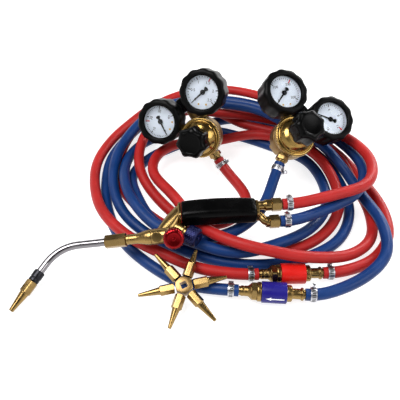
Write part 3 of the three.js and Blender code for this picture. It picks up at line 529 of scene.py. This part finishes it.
SUPPLY_BLUE = [
    (65.5, -19.5, 32.5), (31.5, -43.5, 21.5), (-11, -44.5, 16), (-49, -24, 16), (-71.5, 15, 19),
    (-80, 57, 9), (-59.5, 92.5, 6), (-23, 116.5, 6), (13.5, 141.5, 6), (55, 129.5, 5.5),
    (94, 109.5, 5.5), (130, 86, 6), (144.5, 45, 7.5), (140.5, 1.5, 11.5), (116, -34, 16),
    (78.5, -56.5, 19.5), (36, -67.5, 19), (-6.5, -56.5, 23.5), (-46, -38, 27.5), (-73, -4, 29.5),
    (-86.5, 36.5, 25), (-86, 80, 16), (-69.5, 119, 6.5), (-31, 141, 6), (9.5, 157, 5.5),
    (48.5, 167, 5.5), (89.5, 149.5, 6), (125, 122, 5.5), (152, 87, 5.5), (165.5, 45, 5.5),
    (168, 1.5, 6), (150.5, -38, 5.5), (114, -62, 5.5), (71.5, -72, 5.5), (27.5, -70, 6),
    (-14.5, -56, 7), (-54, -36.5, 9.5), (-85.5, -5.5, 13), (-100, 35, 18), (-98.5, 78, 24),
    (-81, 118.5, 29), (-52.5, 150, 35.5), (-12, 163, 38), (31, 153, 40.5), (72.5, 139.5, 42),
    (112, 121, 31.3), (146, 91, 28), (168, 56.5, 20), (182, 15.5, 17), (193.5, -27, 21.5),
    (189.5, -69.5, 19.5), (157.5, -98, 15),
]
TORCH_RED = [
    (1.5, -83, 13), (-39, -65, 15.5), (-77.5, -43, 18.5), (-106.5, -9.5, 18), (-121, 32, 14),
    (-124.5, 76, 11), (-112.5, 118.5, 9), (-90.5, 157, 7.5), (-63.5, 192.5, 7),
    (-27.5, 217.5, 8), (15.5, 228, 10), (58, 216.5, 14), (94.5, 192, 19), (125, 159.5, 23),
    (151, 124.5, 28.5), (180, 92, 34), (194, 48.5, 41), (181.5, 7.5, 44.5),
    (141.5, -11.5, 46.5),
]
TORCH_BLUE = [
    (-16.5, -95.5, 6), (-54.5, -71, 7), (-85.5, -37.5, 6), (-103.5, 3, 5.5), (-111, 46.5, 5.5),
    (-109, 91, 5.5), (-91, 131.5, 5.5), (-66, 168.5, 5.5), (-32, 196.5, 5.5), (10.5, 209.5, 5.5),
    (54.5, 204.5, 6), (95, 186, 6.5), (129, 157.5, 10.5), (158.5, 125, 17.5), (182, 87.5, 20.5),
    (188, 44.5, 28), (171.5, 4.5, 32), (134.5, -20.5, 34.5),
]


def fitting_end(at, point, way):
    """Where a hose ends on a fitting, and which way it leaves."""
    return at @ Vector(point), (at.to_3x3() @ Vector(way)).normalized()


def centre_line(start, route, end):
    """Straight leads out of both fittings and one smooth curve through the route's points."""
    (a, a_way), (b, b_way) = start, end
    points = [a, a + a_way * LEAD, *[Vector(p) + SHIFT for p in route], b + b_way * LEAD, b]
    line = [a, a + a_way * LEAD / 2]
    for i in range(1, len(points) - 2):
        p0, p1, p2, p3 = points[i - 1 : i + 3]
        t1, t2 = (p2 - p0) / 2, (p3 - p1) / 2
        for k in range(CURVE_STEPS):
            t = k / CURVE_STEPS
            line.append(
                (2 * t**3 - 3 * t**2 + 1) * p1 + (t**3 - 2 * t**2 + t) * t1
                + (3 * t**2 - 2 * t**3) * p2 + (t**3 - t**2) * t2)
    line += [points[-2], b + b_way * LEAD / 2, b]
    for _ in range(6):  # takes the last of the kinks out where the leads end
        line = [line[0], line[1]] + [
            line[i] * 0.5 + (line[i - 1] + line[i + 1]) * 0.25 for i in range(2, len(line) - 2)
        ] + [line[-2], line[-1]]
    return line


CLIP_BACK = 4.5  # from the hose's end to the clip's band
SCREW_AT, SCREW_WAY = (0, 8, 3), (1, 0, 0)


def worm_clip(name, end, faces_to):
    """A worm-drive clip: a slotted band, its housing towards faces_to, and the screw across it."""
    at, way = end
    swing = Vector((0, 0, 1)).rotation_difference(way).to_matrix()
    local = swing.transposed() @ Vector(faces_to)
    roll = turn("Z", math.degrees(math.atan2(local.y, local.x)) - 90)
    band = spin(eased([(6.1, 0), (6.85, 0), (6.85, 6), (6.1, 6)], 0.15, True), 48, True)
    house = box(-3.2, 3.2, 6.4, 8.9, 0.7, 5.3, 0.5)
    screw = along(lathe([(0, -4.8), (1.8, -4.8), (1.8, -3.4), (1.3, -3.4), (1.3, 4.2), (0, 4.2)], 0.2, 20),
                  SCREW_AT, SCREW_WAY)
    head = along(nut(4, -6, -4.4, n=36), SCREW_AT, SCREW_WAY)
    tongue = box(3, 6.4, 6.6, 7.2, 0.5, 5.5, 0.1)
    # The slots are dark bars on the band: painted shade that stands for the holes.
    slots = marks(DARK, Count=18, Radius=6.83, First=math.radians(140), Sweep=math.radians(260), Length=0.25,
                  Width=0.7, Thick=3.6, Height=3.0)

    def laid(*shells):
        return [along(moved(shell, roll), at + way * CLIP_BACK, way) for shell in shells]
    return [
        build(name + "_band", laid(band, house, screw, head, tongue), STEEL, "set", stands_for=name),
        build(name + "_slots", laid(slots), DARK, "set"),
    ]


def gas_hose(name, skin, start, route, end, clip_ways):
    """A hose with a clip on each end."""
    line = centre_line(start, route, end)
    shell = tube(line, HOSE_R, 26, lowest=0.02)
    thing = build(name + "_rubber", [shell], skin, "set", stands_for=name)
    clips = [piece for letter, spot, way in zip("ab", (start, end), clip_ways)
             for piece in worm_clip(f"{name}_clip_{letter}", spot, way)]


# ---------------------------------------------------------------- pressure gauges
# Their own frame: dial facing +Z, the scale's top towards +Y, the stem leaving towards -Y.
GAUGE_SWING, GAUGE_OUT = 37, 51.5  # degrees either side of the inlet, and how far from the axis
DIAL_START, DIAL_SWEEP = 225, 270  # degrees, where zero stands and how far the scale runs clockwise
DIAL_TOP, MARKS_R, NUMBERS_R = 1.2, 17.9, 11.8  # height of the print, and how far out it stands
STEM_AT, STEM_WAY = -8, (0, 1, 0)
SCALES = {  # highest number, step between numbers, marks to each step, red mark's angle
    ("acetylene", "left"): (40, 10, 10, 108),
    ("acetylene", "right"): (2.5, 0.5, 5, 63),
    ("oxygen", "left"): (315, 100, 10, 53.6),
    ("oxygen", "right"): (16, 4, 8, 24),
}


def gauge(gas, side):
    swing = GAUGE_SWING * (-1 if side == "left" else 1)
    at = REGULATOR[gas] @ turn("Z", -swing) @ Matrix.Translation((0, GAUGE_OUT, 0))
    label = f"{gas}_{side}_gauge"
    can = lathe([
        (0, -16), (21.3, -16), (23.3, -14), (23.3, 4.4), (22.3, 4.4), (22.3, 0.4), (0, 0.4),
    ], 0.5, 72)
    neck = box(-5, 5, -28, -21, -13, -3, 0.7)
    foot = along(nut(9.6, 0, 3), (0, -28, STEM_AT), STEM_WAY)
    collar = along(lathe([(0, 0), (5.4, 0), (5.4, 1.4), (4.4, 2.2), (4.4, 3), (0, 3)], 0.2, 40),
                   (0, -25, STEM_AT), STEM_WAY)
    build(label + "_can", [can], DARK, "set", at, f"{label}_case")
    build(label + "_stem", [neck, foot, collar], GOLD, "set", at)
    build(label + "_dial", [lathe([(0, 0.5), (21.8, 0.5), (21.8, 1.15), (0, 1.15)], 0.1, 72)],
          WHITE, "set", at)
    # The rubber boot: a scalloped wall and a lip rolled in over the glass.
    boot = lobed([
        (23.5, -18), (24.2, -18), (24.4, -17.7, 0.5), (24.6, -16.8, 1), (25, -8, 1), (25.5, 2, 1),
        (25.5, 5.4, 1), (25.3, 6.8, 0.8), (24.5, 8, 0.5), (23.4, 8.7), (22, 9), (20.6, 8.9), (19.6, 8.4),
        (19, 7.6), (18.8, 6.4), (18.8, 4.9), (21, 4.8), (23.5, 4.8),
    ], 144, BOOT, closed=True, Count=12, Depth=1.25, Sharpness=0.8)
    build(label + "_boot_rubber", [boot], BOOT, "set", at, f"{label}_boot", sharp=50)
    build(label + "_bezel", [lathe([(20.4, 1.3), (22, 1.3), (22, 3.9), (21.2, 3.9)], 0.2, 72, True)],
          STEEL, "set", at)
    build(label + "_lens", [lathe([(0, 4.2), (21, 4), (21, 4.5), (18, 4.75), (0, 5.2)], 0.05, 72)],
          LENS, "set", at)

    top, step, marks_each, red_at = SCALES[gas, side]
    # A long mark at each number, a middling one half way between where a mark falls there, and
    # short ones for the rest.
    half_way = 2 if marks_each % 2 == 0 else 1
    ink = []
    for parts, length, wide in ((1, 3.1, 1.0), (half_way, 2.0, 0.52), (marks_each, 1.4, 0.52)):
        last = math.floor(top / step * parts + 0.001)
        ink.append(marks(INK, Count=last + 1, Radius=MARKS_R - length / 2, First=math.radians(DIAL_START),
                         Sweep=-math.radians(DIAL_SWEEP) * last * step / parts / top, Length=length,
                         Width=wide, Thick=0.08, Height=DIAL_TOP))
    for k in range(math.floor(top / step + 0.001) + 1):
        number = k * step
        at_degrees = DIAL_START - DIAL_SWEEP * (number / top)
        ink.append(letters(f"{number:g}", 4.4, *on_circle(at_degrees, NUMBERS_R), DIAL_TOP))
    red = marks(DIAL_RED, Count=1, Radius=15.8, First=math.radians(red_at), Sweep=0.0, Length=4.8, Width=1.2,
                Thick=0.08, Height=DIAL_TOP + 0.1)
    spot = slab([(-0.9, -1), (0.9, -1), (1.1, 0.4), (0, 1.3), (-1.1, 0.4)], DIAL_TOP, DIAL_TOP + 0.1)
    gold = [moved(spot, Matrix.Translation((*on_circle(degrees, 14.2), 0))) for degrees in (-108, -72)]
    build(label + "_scale", ink, INK, "set", at, outward=False)
    build(label + "_limit_mark", [red], DIAL_RED, "set", at)
    build(label + "_small_marks", gold, DIAL_GOLD, "set", at)

    hub = lathe([(1.1, 1.6), (2.9, 1.6), (2.9, 2.6), (2.4, 3.2), (1.1, 3.2)], 0.2, 40, True)
    blade = slab([(-1, -2), (-0.4, -15.4), (0.4, -15.4), (1, -2)], 2.0, 2.5)
    weight = slab([(-0.9, 2), (0.9, 2), (1.4, 3.8), (2.6, 5.4), (2.1, 6.9), (0, 7.4), (-2.1, 6.9),
                   (-2.6, 5.4), (-1.4, 3.8)], 2.0, 2.5)
    pin = lathe([(0, 1.1), (0.95, 1.1), (0.95, 3.3), (0, 3.6)], 0.2, 24)
    # The pointer is drawn hanging straight down and turned to zero.
    build(label + "_pointer", [hub, blade, weight], INK, f"{gas}_{side}_needle",
          at @ turn("Z", DIAL_START - 270), f"{label}_needle")
    build(label + "_pin", [pin], INK, "set", at)


# ---------------------------------------------------------------- regulators
# Their own frame: the adjusting knob towards +Z, the cylinder stem along +Y, the hose tail along -Y.
OUTLET_Z, INLET_Z = -10, -31  # heights of the hose tail and of the cylinder stem


def regulator(gas):
    at = REGULATOR[gas]
    for side in ("left", "right"):
        gauge(gas, side)
    cast = lathe([
        (0, -39), (10.6, -39), (12, -37.6), (12, -23), (14, -18.6), (20.5, -18), (22.5, -16),
        (22.5, -5.4), (21.9, -5), (21.9, -4.2), (22.5, -3.8), (22.5, -1.5), (17, -1.5), (17, -8),
        (3.5, -8), (3.5, -32), (0, -32),
    ], 0.6, 80)
    screwed = nut(17, -45, -38.6)
    inlet = along(lathe([
        (0, 8), (8, 8), (8, 34), (7.4, 35), (5.7, 35), (5.7, 39.3), (8.4, 39.3), (8.4, 41.3),
        (6, 43), (5, 46), (4.2, 47), (3, 47), (3, 20), (0, 20),
    ], 0.3, 48), (0, 0, INLET_Z), (0, 1, 0))
    ports = []
    for degrees, z in ((180, OUTLET_Z), (GAUGE_SWING, STEM_AT), (-GAUGE_SWING, STEM_AT)):
        a = math.radians(degrees)
        ports.append(along(lathe([(0, 17), (6.8, 17), (6.8, 22.4), (6.2, 23.2), (0, 23.2)], 0.3, 40),
                           (0, 0, z), (math.sin(a), math.cos(a), 0)))
    ribs = [moved(box(-3, 3, 10, 21, -24, -16.5, 1.2), turn("Z", degrees)) for degrees in (135, 225)]
    build(f"{gas}_body_forging", [cast, screwed, inlet, *ports, *ribs], CAST, "set", at,
          f"{gas}_regulator_body")
    bonnet = lathe([
        (17, -1.2), (22.7, -1.2), (22.9, -0.6), (22.9, 4), (22.3, 5), (20.9, 5), (20.2, 4.5),
        (19.4, 5), (18.6, 7.4), (15.6, 10.6), (12.4, 13), (11.2, 14.6), (11, 16), (11, 25), (10, 26),
        (4.1, 26), (4.1, 11), (10, 10), (17, 5),
    ], 0.5, 96, True)
    rim = lobed([(22.7, -0.9), (22.82, -0.5, 1), (22.92, 0, 1), (22.92, 3.4, 1), (22.82, 4, 1), (22.7, 4.3)],
                288, GOLD, closed=True, Count=72, Depth=0.56)
    build(f"{gas}_bonnet_turned", [bonnet, rim], GOLD, "set", at, f"{gas}_bonnet")
    knob = lobed([
        (0, 37), (12.2, 37), (12.2, 23), (14.3, 23, 0.9), (15.2, 23.5, 1), (15.6, 25, 1), (15.6, 33, 1),
        (15.5, 39, 1), (15.1, 41.4, 0.9), (14.2, 43.2, 0.75), (12.8, 44.4, 0.5), (11.6, 44.9), (11, 44.95),
        (10.6, 44.6), (10.1, 44.45), (0, 44.6),
    ], 168, PLASTIC, Count=7, Depth=2.3, Sharpness=1.5)
    screw = lathe([(0, 7), (2.6, 7), (4, 8.6), (4, 37.2), (0, 37.2)], 0.2, 40)
    build(f"{gas}_knob_cap", [knob, screw], PLASTIC, f"{gas}_knob", at,
          f"{gas}_adjusting_knob", sharp=48)
    build(f"{gas}_button_plate",
          [lathe([(0, 3.4), (9, 3.4), (9, 5.2), (6, 6.7), (0, 6.7)], 0.3, 48)], STEEL,
          f"{gas}_button", at, f"{gas}_spring_button")
    down = ((0, 0, OUTLET_Z), (0, -1, 0))
    tail = [
        along(nut(13, 23.5, 28.5), *down),
        along(lathe([(0, 28), (5.2, 28), (5.2, 29.6), (4.5, 30.2), (5.2, 30.8), (4.6, 31.7), (0, 31.7)],
                    0.2, 40), *down),
    ]
    build(f"{gas}_hose_tail", tail, BRASS, "set", at, f"{gas}_outlet_tail")
    inlet_at = at @ Matrix.Translation((0, 0, INLET_Z)) @ turn("X", -90)
    inlet_nut = spin([
        (6.1, 35.3), (11.1, 35.3), corner_cut(23, 35.3, 11.1, 1), corner_cut(23, 53, 11.1, -1),
        (11.1, 53), (9.6, 53), (9.2, 52.6), (9.2, 39), (6.1, 39),
    ], 72, closed=True)
    build(f"{gas}_cylinder_nut_body", [inlet_nut], PLASTIC, f"{gas}_cylinder_nut", inlet_at,
          f"{gas}_inlet_nut")


# ---------------------------------------------------------------- torch
# Its own frame: the grip runs along +X from its front face at x = 0, the lance falls to -X.
INLETS = {"acetylene": (4.7, 2), "oxygen": (-11.9, -5)}  # y and z of its two hose tails
LANCE_WAY = Vector((-1, 0.08, -0.19)).normalized()
LANCE_FOOT, LANCE_LONG = Vector((-30, -24.3, -4.8)), 99
GRIP_LONG, GRIP_WIDE, GRIP_HIGH = 76, 23.4, 19
SWELL_BACK, SWELL_TOP = 1.8, 2.2


def rounded(w, h, r, x):
    """A rounded rectangle across the torch at x, w along Y and h along Z."""
    out = []
    for side, up, start in ((1, 1, 0), (-1, 1, 90), (-1, -1, 180), (1, -1, 270)):
        for k in range(7):
            y, z = on_circle(start + 15 * k, r)
            out.append((x, side * (w / 2 - r) + y, up * (h / 2 - r) + z))
    return out


def loft(rows):
    """A skin over rows of points, closed at both ends."""
    n = len(rows[0])
    points = [p for row in rows for p in row]
    faces = [(i * n + k, i * n + (k + 1) % n, (i + 1) * n + (k + 1) % n, (i + 1) * n + k)
             for i in range(len(rows) - 1) for k in range(n)]
    faces += [tuple(range(n)), tuple(range((len(rows) - 1) * n, len(rows) * n))]
    return points, faces, [p[0] for p in points]


def grip():
    """The moulded grip, eased at both ends. It swells a little along its top and back edge."""
    half_wide, half_high = GRIP_WIDE / 2, GRIP_HIGH / 2
    front = ((0, 2), (0.3, 1.1), (0.9, 0.4), (1.8, 0))  # x and how much narrower than the full size
    back = tuple((GRIP_LONG - x, inset) for x, inset in reversed(front))
    between = ((x, 0) for x in (5, 9, 14, 20, 29, 38, 47, 56, 62, 67, 71))
    rows = []
    for x, inset in (*front, *between, *back):
        slim = 1 - 0.02 * x / GRIP_LONG
        swell = max(0.0, math.sin(math.pi * x / GRIP_LONG)) ** 0.6
        rows.append([
            (x, y + SWELL_BACK * swell * max(0.0, y / half_wide) * min(max((z / half_high + 1) / 2, 0), 1),
             z + SWELL_TOP * swell * max(0.0, z / half_high))
            for x, y, z in rounded(GRIP_WIDE * slim - inset, GRIP_HIGH * slim - inset, 6 - inset * 0.4, x)])
    return loft(rows)


def bell():
    """The bell that swings down from the grip to the lance, from a soft rectangle to a circle."""
    way = Vector((-17, -20.2, -4))
    face_way = Vector((-17, -19, -4)).normalized()
    squareness, n, steps = 2.6, 40, 16
    rows = []
    for i in range(steps + 1):
        t = i / steps
        centre = Vector((-2.8, 0, 0)) + way * t
        face = (Vector((-1, 0, 0)) * (1 - t) + face_way * t).normalized()
        across = Vector((0, 0, 1)).cross(face).normalized()
        up = face.cross(across)
        drawn = t ** 1.6
        half_w, half_h = 10.4 - 3.4 * drawn, 8.2 - 1.2 * drawn
        row = []
        for k in range(n):
            a = TAU * k / n
            c, d = math.cos(a), math.sin(a)
            swell = (abs(c) ** squareness + abs(d) ** squareness) ** (-1 / squareness) * (1 - t) + t
            row.append(tuple(centre + across * (half_w * c * swell) + up * (half_h * d * swell)))
        rows.append(row)
    return loft(rows)


def torch():
    build("torch_grip_sleeve", [grip()], SATIN, "set", TORCH, "torch_grip")

    # The head: a flange against the grip, the bell, the lance's socket and two glands.
    flange = loft([rounded(w, h, r, x) for x, w, h, r in (
        (-0.3, 21.6, 17.2, 5.4), (-0.6, 22.6, 18.2, 5.8), (-2.6, 22.6, 18.2, 5.8), (-3.6, 21, 16.6, 5.4))])
    socket = along(lathe([(0, -22), (6.6, -22), (7.8, -20.4), (8, -17), (8, -0.3), (0, -0.3)], 0.3, 48),
                   LANCE_FOOT, LANCE_WAY)
    # A flat milled on the socket for the spanner, facing up and forwards.
    facing = Vector((0, -0.8, 0.8)).normalized()
    facing = (facing - LANCE_WAY * facing.dot(LANCE_WAY)).normalized()
    facet = along(lathe([(0, 4), (5.4, 4), (5.4, 7.6), (5, 8), (0, 8)], 0.2, 48),
                  LANCE_FOOT - LANCE_WAY * 6, facing)
    fluted = lobed([
        (0, -6.5), (8.6, -6.5), (9.2, -6.2, 0.6), (9.7, -5.4, 1), (9.8, 3.6, 1), (9.4, 4.9, 0.8),
        (8.6, 5.8, 0.5), (7.6, 6.3), (6.4, 6.5), (5.6, 6.2), (4.6, 5.9), (0, 5.8),
    ], 144, RED_KNOB, Count=18, Depth=0.5, Sharpness=0.25)
    knurled = lobed([
        (0, -6.5), (8.8, -6.5), (9.5, -6), *[(9.5, -5.6 + 10 * k / 16, 1) for k in range(17)], (9.3, 5),
        (8.3, 6.1), (6.5, 6.5), (5.6, 6.1), (0, 6),
    ], 192, NAVY_KNOB, Count=24, Depth=0.65, Sharpness=0.5, Twist=1.25)
    stud = lathe([(0, 5), (2, 5), (2, 6.5), (1.5, 7), (0, 7)], 0.2, 24)
    shaft = lathe([(0, -12.4), (2.6, -12.4), (2.6, -6), (0, -6)], 0.2, 32)
    # Gas, the knob's middle, its way out, the gland's depth in the head, the knob and its finish.
    valves = (
        ("acetylene", (-8.8, -38.6, 9.3), (0, -0.78, 0.63), 2, fluted, RED_KNOB, "red_enamel"),
        ("oxygen", (10.4, -26.9, -4), (0.8, -0.6, 0), 9, knurled, NAVY_KNOB, "blue_enamel"),
    )
    glands = [along(lathe([
        (0, -root), (6.5, -root), (6.5, 3.6), (5.9, 4.5), (5, 4.7), (5, 7.7), (2.7, 7.7), (2.7, 4), (0, 4),
    ], 0.25, 48), Vector(spot) - Vector(way).normalized() * 14.5, way) for _, spot, way, root, *_ in valves]
    build("torch_head_casting", [flange, bell(), socket, facet, *glands], BRASS, "set", TORCH, "torch_head")
    for gas, spot, way, _, cap, skin, slot in valves:
        build(f"torch_{gas}_knob_cap", [along(part, spot, way) for part in (cap, shaft, stud)], skin,
              f"{gas}_valve", TORCH, f"torch_{gas}_valve_knob", sharp=50)

    mixer = lathe([
        (0, 0), (7.8, 0), (7.95, 0.6), (7.9, 3), (7.5, 6), (6.8, 9), (6, 12), (5.4, 15), (5.2, 18),
        (5.2, 22.6), (5, 22.9), (5, 23.5), (5.2, 23.8), (5.2, 26.2), (4.8, 26.5), (0, 26.5),
    ], 0.3, 56)
    build("torch_mixer_body", [along(mixer, LANCE_FOOT, LANCE_WAY)], BRASS, "set", TORCH, "torch_mixer")
    build("torch_union_nut", [along(nut(12.5, 26.8, 48.5, 4.1), LANCE_FOOT, LANCE_WAY)], BRASS,
          "lance_union_nut", TORCH, "torch_lance_nut")

    # The lance: straight, one bend round its corner, and straight again to the tip.
    corner = LANCE_FOOT + LANCE_WAY * LANCE_LONG
    tip_way = Vector((-0.558, -0.786, -0.2565)).normalized()
    bend, bend_steps = 22, 24
    line = [LANCE_FOOT + LANCE_WAY * run for run in (27.1, 40, 55, 70)]
    before, after = corner - LANCE_WAY * bend, corner + tip_way * bend
    for k in range(bend_steps + 1):
        t = k / bend_steps
        line.append((1 - t) ** 2 * before + 2 * t * (1 - t) * corner + t * t * after)
    line += [corner + tip_way * 30, corner + tip_way * 36]
    build("torch_lance_pipe", [tube(line, 4.0, 32)], CHROME, "set", TORCH, "torch_lance_tube",
          sharp=60)
    ring = lathe([
        (4.3, 0), (4.9, 0), (5.6, 0.7), (5.6, 7.6), (5.1, 8.1), (5.1, 8.7), (5.4, 9), (5.4, 11.6), (4.9, 12),
        (2, 12), (2, 6.4), (4.3, 6.4),
    ], 0.2, 48, True)
    build("torch_collar_ring", [along(ring, corner + tip_way * 30, tip_way)], DARK, "set", TORCH,
          "torch_tip_collar")
    build("torch_tip_nozzle",
          [along(part, corner + tip_way * 42.3, tip_way) for part in nozzle(11, 13, 34, 2.4)],
          BRASS, "set", TORCH, "torch_tip")

    # Inlets at the back: an end plate, a straight tail for one gas and an offset elbow for the other.
    plate = loft([rounded(w, h, 5, x) for x, w, h in (
        (76.3, 19.5, 15.7), (76.6, 20.1, 16.3), (78.7, 20.1, 16.3), (79, 19.5, 15.7))])
    straight = along(lathe([
        (0, 78), (4.6, 78), (4.6, 84.6), (6, 87), (6, 92.7), (4.2, 92.7), (4.2, 104.2), (0, 104.2),
    ], 0.3, 40), (0, *INLETS["acetylene"]), (1, 0, 0))
    bent = [Vector(p) for p in (
        (78, -4.4, -2.2), (80, -5, -2.4), (82, -7.6, -3.4), (84.4, -10.7, -4.4), (87, -11.9, -5))]
    elbow = tube(bent, 4.3, 32)
    lower = along(lathe([
        (0, 85.2), (5, 85.2), (5.6, 85.8), (5.6, 88.7), (4.2, 88.7), (4.2, 100), (0, 100),
    ], 0.3, 40), (0, *INLETS["oxygen"]), (1, 0, 0))
    build("torch_inlet_casting", [plate, straight, elbow, lower], BRASS, "set", TORCH,
          "torch_inlet_block")
    for gas, start, end in (("acetylene", 93, 103), ("oxygen", 89, 99)):
        build(f"torch_{gas}_union", [along(nut(13, start, end, 4.6), (0, *INLETS[gas]), (1, 0, 0))],
              BRASS, f"{gas}_hose_nut", TORCH, f"torch_{gas}_nut")


def nozzle(flats, hexagon, length, r):
    """A welding nozzle: a hexagon at its foot, a shoulder, then a long taper."""
    across = flats / 2
    foot = nut(flats, 0, hexagon)
    cone = lathe([
        (0, hexagon - 1), (across - 0.5, hexagon - 1), (across - 0.6, hexagon + 0.6),
        (across - 0.9, hexagon + 1), (r + 0.35, length - 4), (r, length - 0.5), (r - 0.4, length),
        (0.5, length), (0.5, length - 3), (0, length - 3),
    ], 0.25, 40)
    return [foot, cone]


# ---------------------------------------------------------------- flashback arrestors
ARRESTOR_LONG, SLEEVE_R = 65, 10.5
ARROW_AT = 198  # degrees round the sleeve, where the camera sees it


def flashback(gas, skin):
    """An arrestor, turned along its own axis from the torch's side."""
    at = ARRESTOR[gas] @ turn("Y", 90)
    core = lathe([
        (0, 0.3), (4.6, 0.3), (4.6, 2), (5.2, 2.6), (5.2, 5), (4.9, 5.3), (4.9, 5.8), (5.2, 6.1), (5.2, 9),
        (6.2, 10.5), (8.2, 12.4), (8.2, 17.8), (9.4, 18.2), (9.6, 18.8), (9.6, 21.4), (9.3, 22), (8.5, 22),
        (8.5, 47), (8.1, 47), (8.2, 47.6), (8.2, 51), (7.2, 52), (5.2, 52.4), (5.2, 60.2), (6.3, 60.8),
        (6.4, 61.2), (6.4, 62.6), (6, 63), (4.6, 63.4), (4.6, 64.7), (0, 64.7),
    ], 0.3, 64)
    parts = [build(f"{gas}_arrestor_turning", [core, nut(16.8, 12.5, 18)], BRASS, "set", at,
                   f"{gas}_arrestor_body")]
    label = lathe([
        (8.8, 22.3), (10, 22.3), (SLEEVE_R, 22.8), (SLEEVE_R, 46.2), (10, 46.7), (8.8, 46.7),
    ], 0.25, 72, True)
    parts.append(build(f"{gas}_arrestor_label", [label], skin, "set", at, f"{gas}_arrestor_sleeve"))
    if gas == "oxygen":
        # The flow arrow, a thin plate wrapped on the sleeve: it points to the torch.
        outline = [(-0.6, 44), (-0.6, 31.5), (-1.8, 31.5), (0, 26.5), (1.8, 31.5), (0.6, 31.5), (0.6, 44)]
        points, faces, run = slab(outline, SLEEVE_R - 0.05, SLEEVE_R + 0.1)
        wrapped = []
        for across, z, r in points:
            a = math.radians(ARROW_AT) + across / SLEEVE_R
            wrapped.append((r * math.sin(a), r * math.cos(a), z))
        parts.append(build(f"{gas}_arrestor_arrow", [(wrapped, faces, run)], PRINT, "set", at))
    return parts


# ---------------------------------------------------------------- star of spare nozzles
HUB_R, STAR_TURN = 10.7, 12


def nozzle_star():
    """Six spare nozzles round a hub with a square hole, eased at its corners."""
    flat_out = HUB_R * math.cos(math.pi / 6)
    hub = nut(2 * flat_out * math.cos(math.pi / 6), -4.5, 4.5,
              lambda a: min(3.3 / math.cos((a + 0.5) % (TAU / 4) - TAU / 8), 4.2))
    build("star_hub_block", [hub], CAST, "nozzle_star", STAR @ turn("Z", STAR_TURN), "nozzle_star_hub")
    start = flat_out + 0.3
    for i, reach in enumerate((42.5, 38.5, 43, 45, 43, 45)):
        at = STAR @ turn("Z", STAR_TURN + 60 * i) @ Matrix.Translation((start, 0, 0)) @ turn("Y", 90)
        build(f"star_nozzle_{i + 1}", nozzle(9.4, 14, reach - start, 1.7), BRASS, "nozzle_star", at,
              f"spare_nozzle_{i + 1}")


# ---------------------------------------------------------------- the whole set
for gas in ("acetylene", "oxygen"):
    regulator(gas)
torch()
arrestor_pieces = {
    "acetylene": flashback("acetylene", RED_LABEL),
    "oxygen": flashback("oxygen", BLUE_LABEL),
}
nozzle_star()
for gas, skin, slot, route, clip_ways in (
    ("acetylene", RED, "red_hose", SUPPLY_RED, ((1, 0.2, 0.3), (0, 1, 0.1))),
    ("oxygen", BLUE, "blue_hose", SUPPLY_BLUE, ((1, 0.5, -0.2), (0, 1, 0.3))),
):
    start = fitting_end(REGULATOR[gas], (0, -32, OUTLET_Z), (0, -1, 0))
    end = fitting_end(ARRESTOR[gas], (ARRESTOR_LONG, 0, 0), (1, 0, 0))
    gas_hose(f"{gas}_supply_hose", skin, start, route, end, clip_ways)
for gas, skin, slot, route, tail_x in (
    ("acetylene", RED, "red_hose", TORCH_RED, 104.5),
    ("oxygen", BLUE, "blue_hose", TORCH_BLUE, 100.3),
):
    start = fitting_end(ARRESTOR[gas], (0, 0, 0), (-1, 0, 0))
    end = fitting_end(TORCH, (tail_x, *INLETS[gas]), (1, 0, 0))
    gas_hose(f"{gas}_torch_hose", skin, start, route, end, ((0, 1, -0.6), (0, 0.5, 1)))

# ---------------------------------------------------------------- floor and light
FLOOR_HALF, FLOOR_GLOW = 20, 0.8
floor_mesh = bpy.data.meshes.new("floor")
floor_mesh.from_pydata([(x * FLOOR_HALF, y * FLOOR_HALF, 0) for x, y in ((-1, -1), (1, -1), (1, 1), (-1, 1))],
                       [], [(0, 1, 2, 3)])
floor = bpy.data.objects.new("floor", floor_mesh)
floor.location.z = -0.00005
scene.collection.objects.link(floor)
# A white sheet with a glow of its own, so that shadows on it stay weak.
paper = material("floor", (0.45, 0.45, 0.455), 0.7, 0, 0.01, 40, 0.05, specular=0.1, wander=0.04)
sheet = paper.node_tree.nodes["Principled BSDF"]
sheet.inputs["Emission Color"].default_value = (1, 1, 1, 1)
sheet.inputs["Emission Strength"].default_value = FLOOR_GLOW
floor_mesh.materials.append(paper)

# Pale walls round the table up to eye level and a dim ceiling above them.
WALL_TOP, CEILING, WALL_LIGHT, CEILING_LIGHT = 0.28, 0.6, 0.92, 0.07
world = bpy.data.worlds.new("studio")
world.use_nodes = True
studio = world.node_tree
heading = node(studio, "ShaderNodeTexCoord").outputs["Generated"]
height = node(studio, "ShaderNodeSeparateXYZ", Vector=heading).outputs["Z"]
background = studio.nodes["Background"]
put(studio, background.inputs["Color"], (1, 1, 1, 1))
put(studio, background.inputs["Strength"],
    ramp(studio, height, WALL_TOP, CEILING, WALL_LIGHT, CEILING_LIGHT))
scene.world = world
aim = Vector((0.03, 0.03, 0.02))  # the middle of the set
for name, at, size, power in (
    ("key", (-0.45, -0.1, 1.2), 0.8, 20),
    ("fill", (0.9, -0.45, 0.8), 0.7, 6),
    ("back", (0.75, 0.75, 0.55), 0.45, 9),
):
    light = bpy.data.lights.new(name, "AREA")
    light.size, light.energy = size, power
    lamp = bpy.data.objects.new(name, light)
    scene.collection.objects.link(lamp)
    lamp.location = at
    lamp.rotation_euler = (aim - Vector(at)).to_track_quat("-Z", "Y").to_euler()
scene.view_settings.view_transform = "Standard"
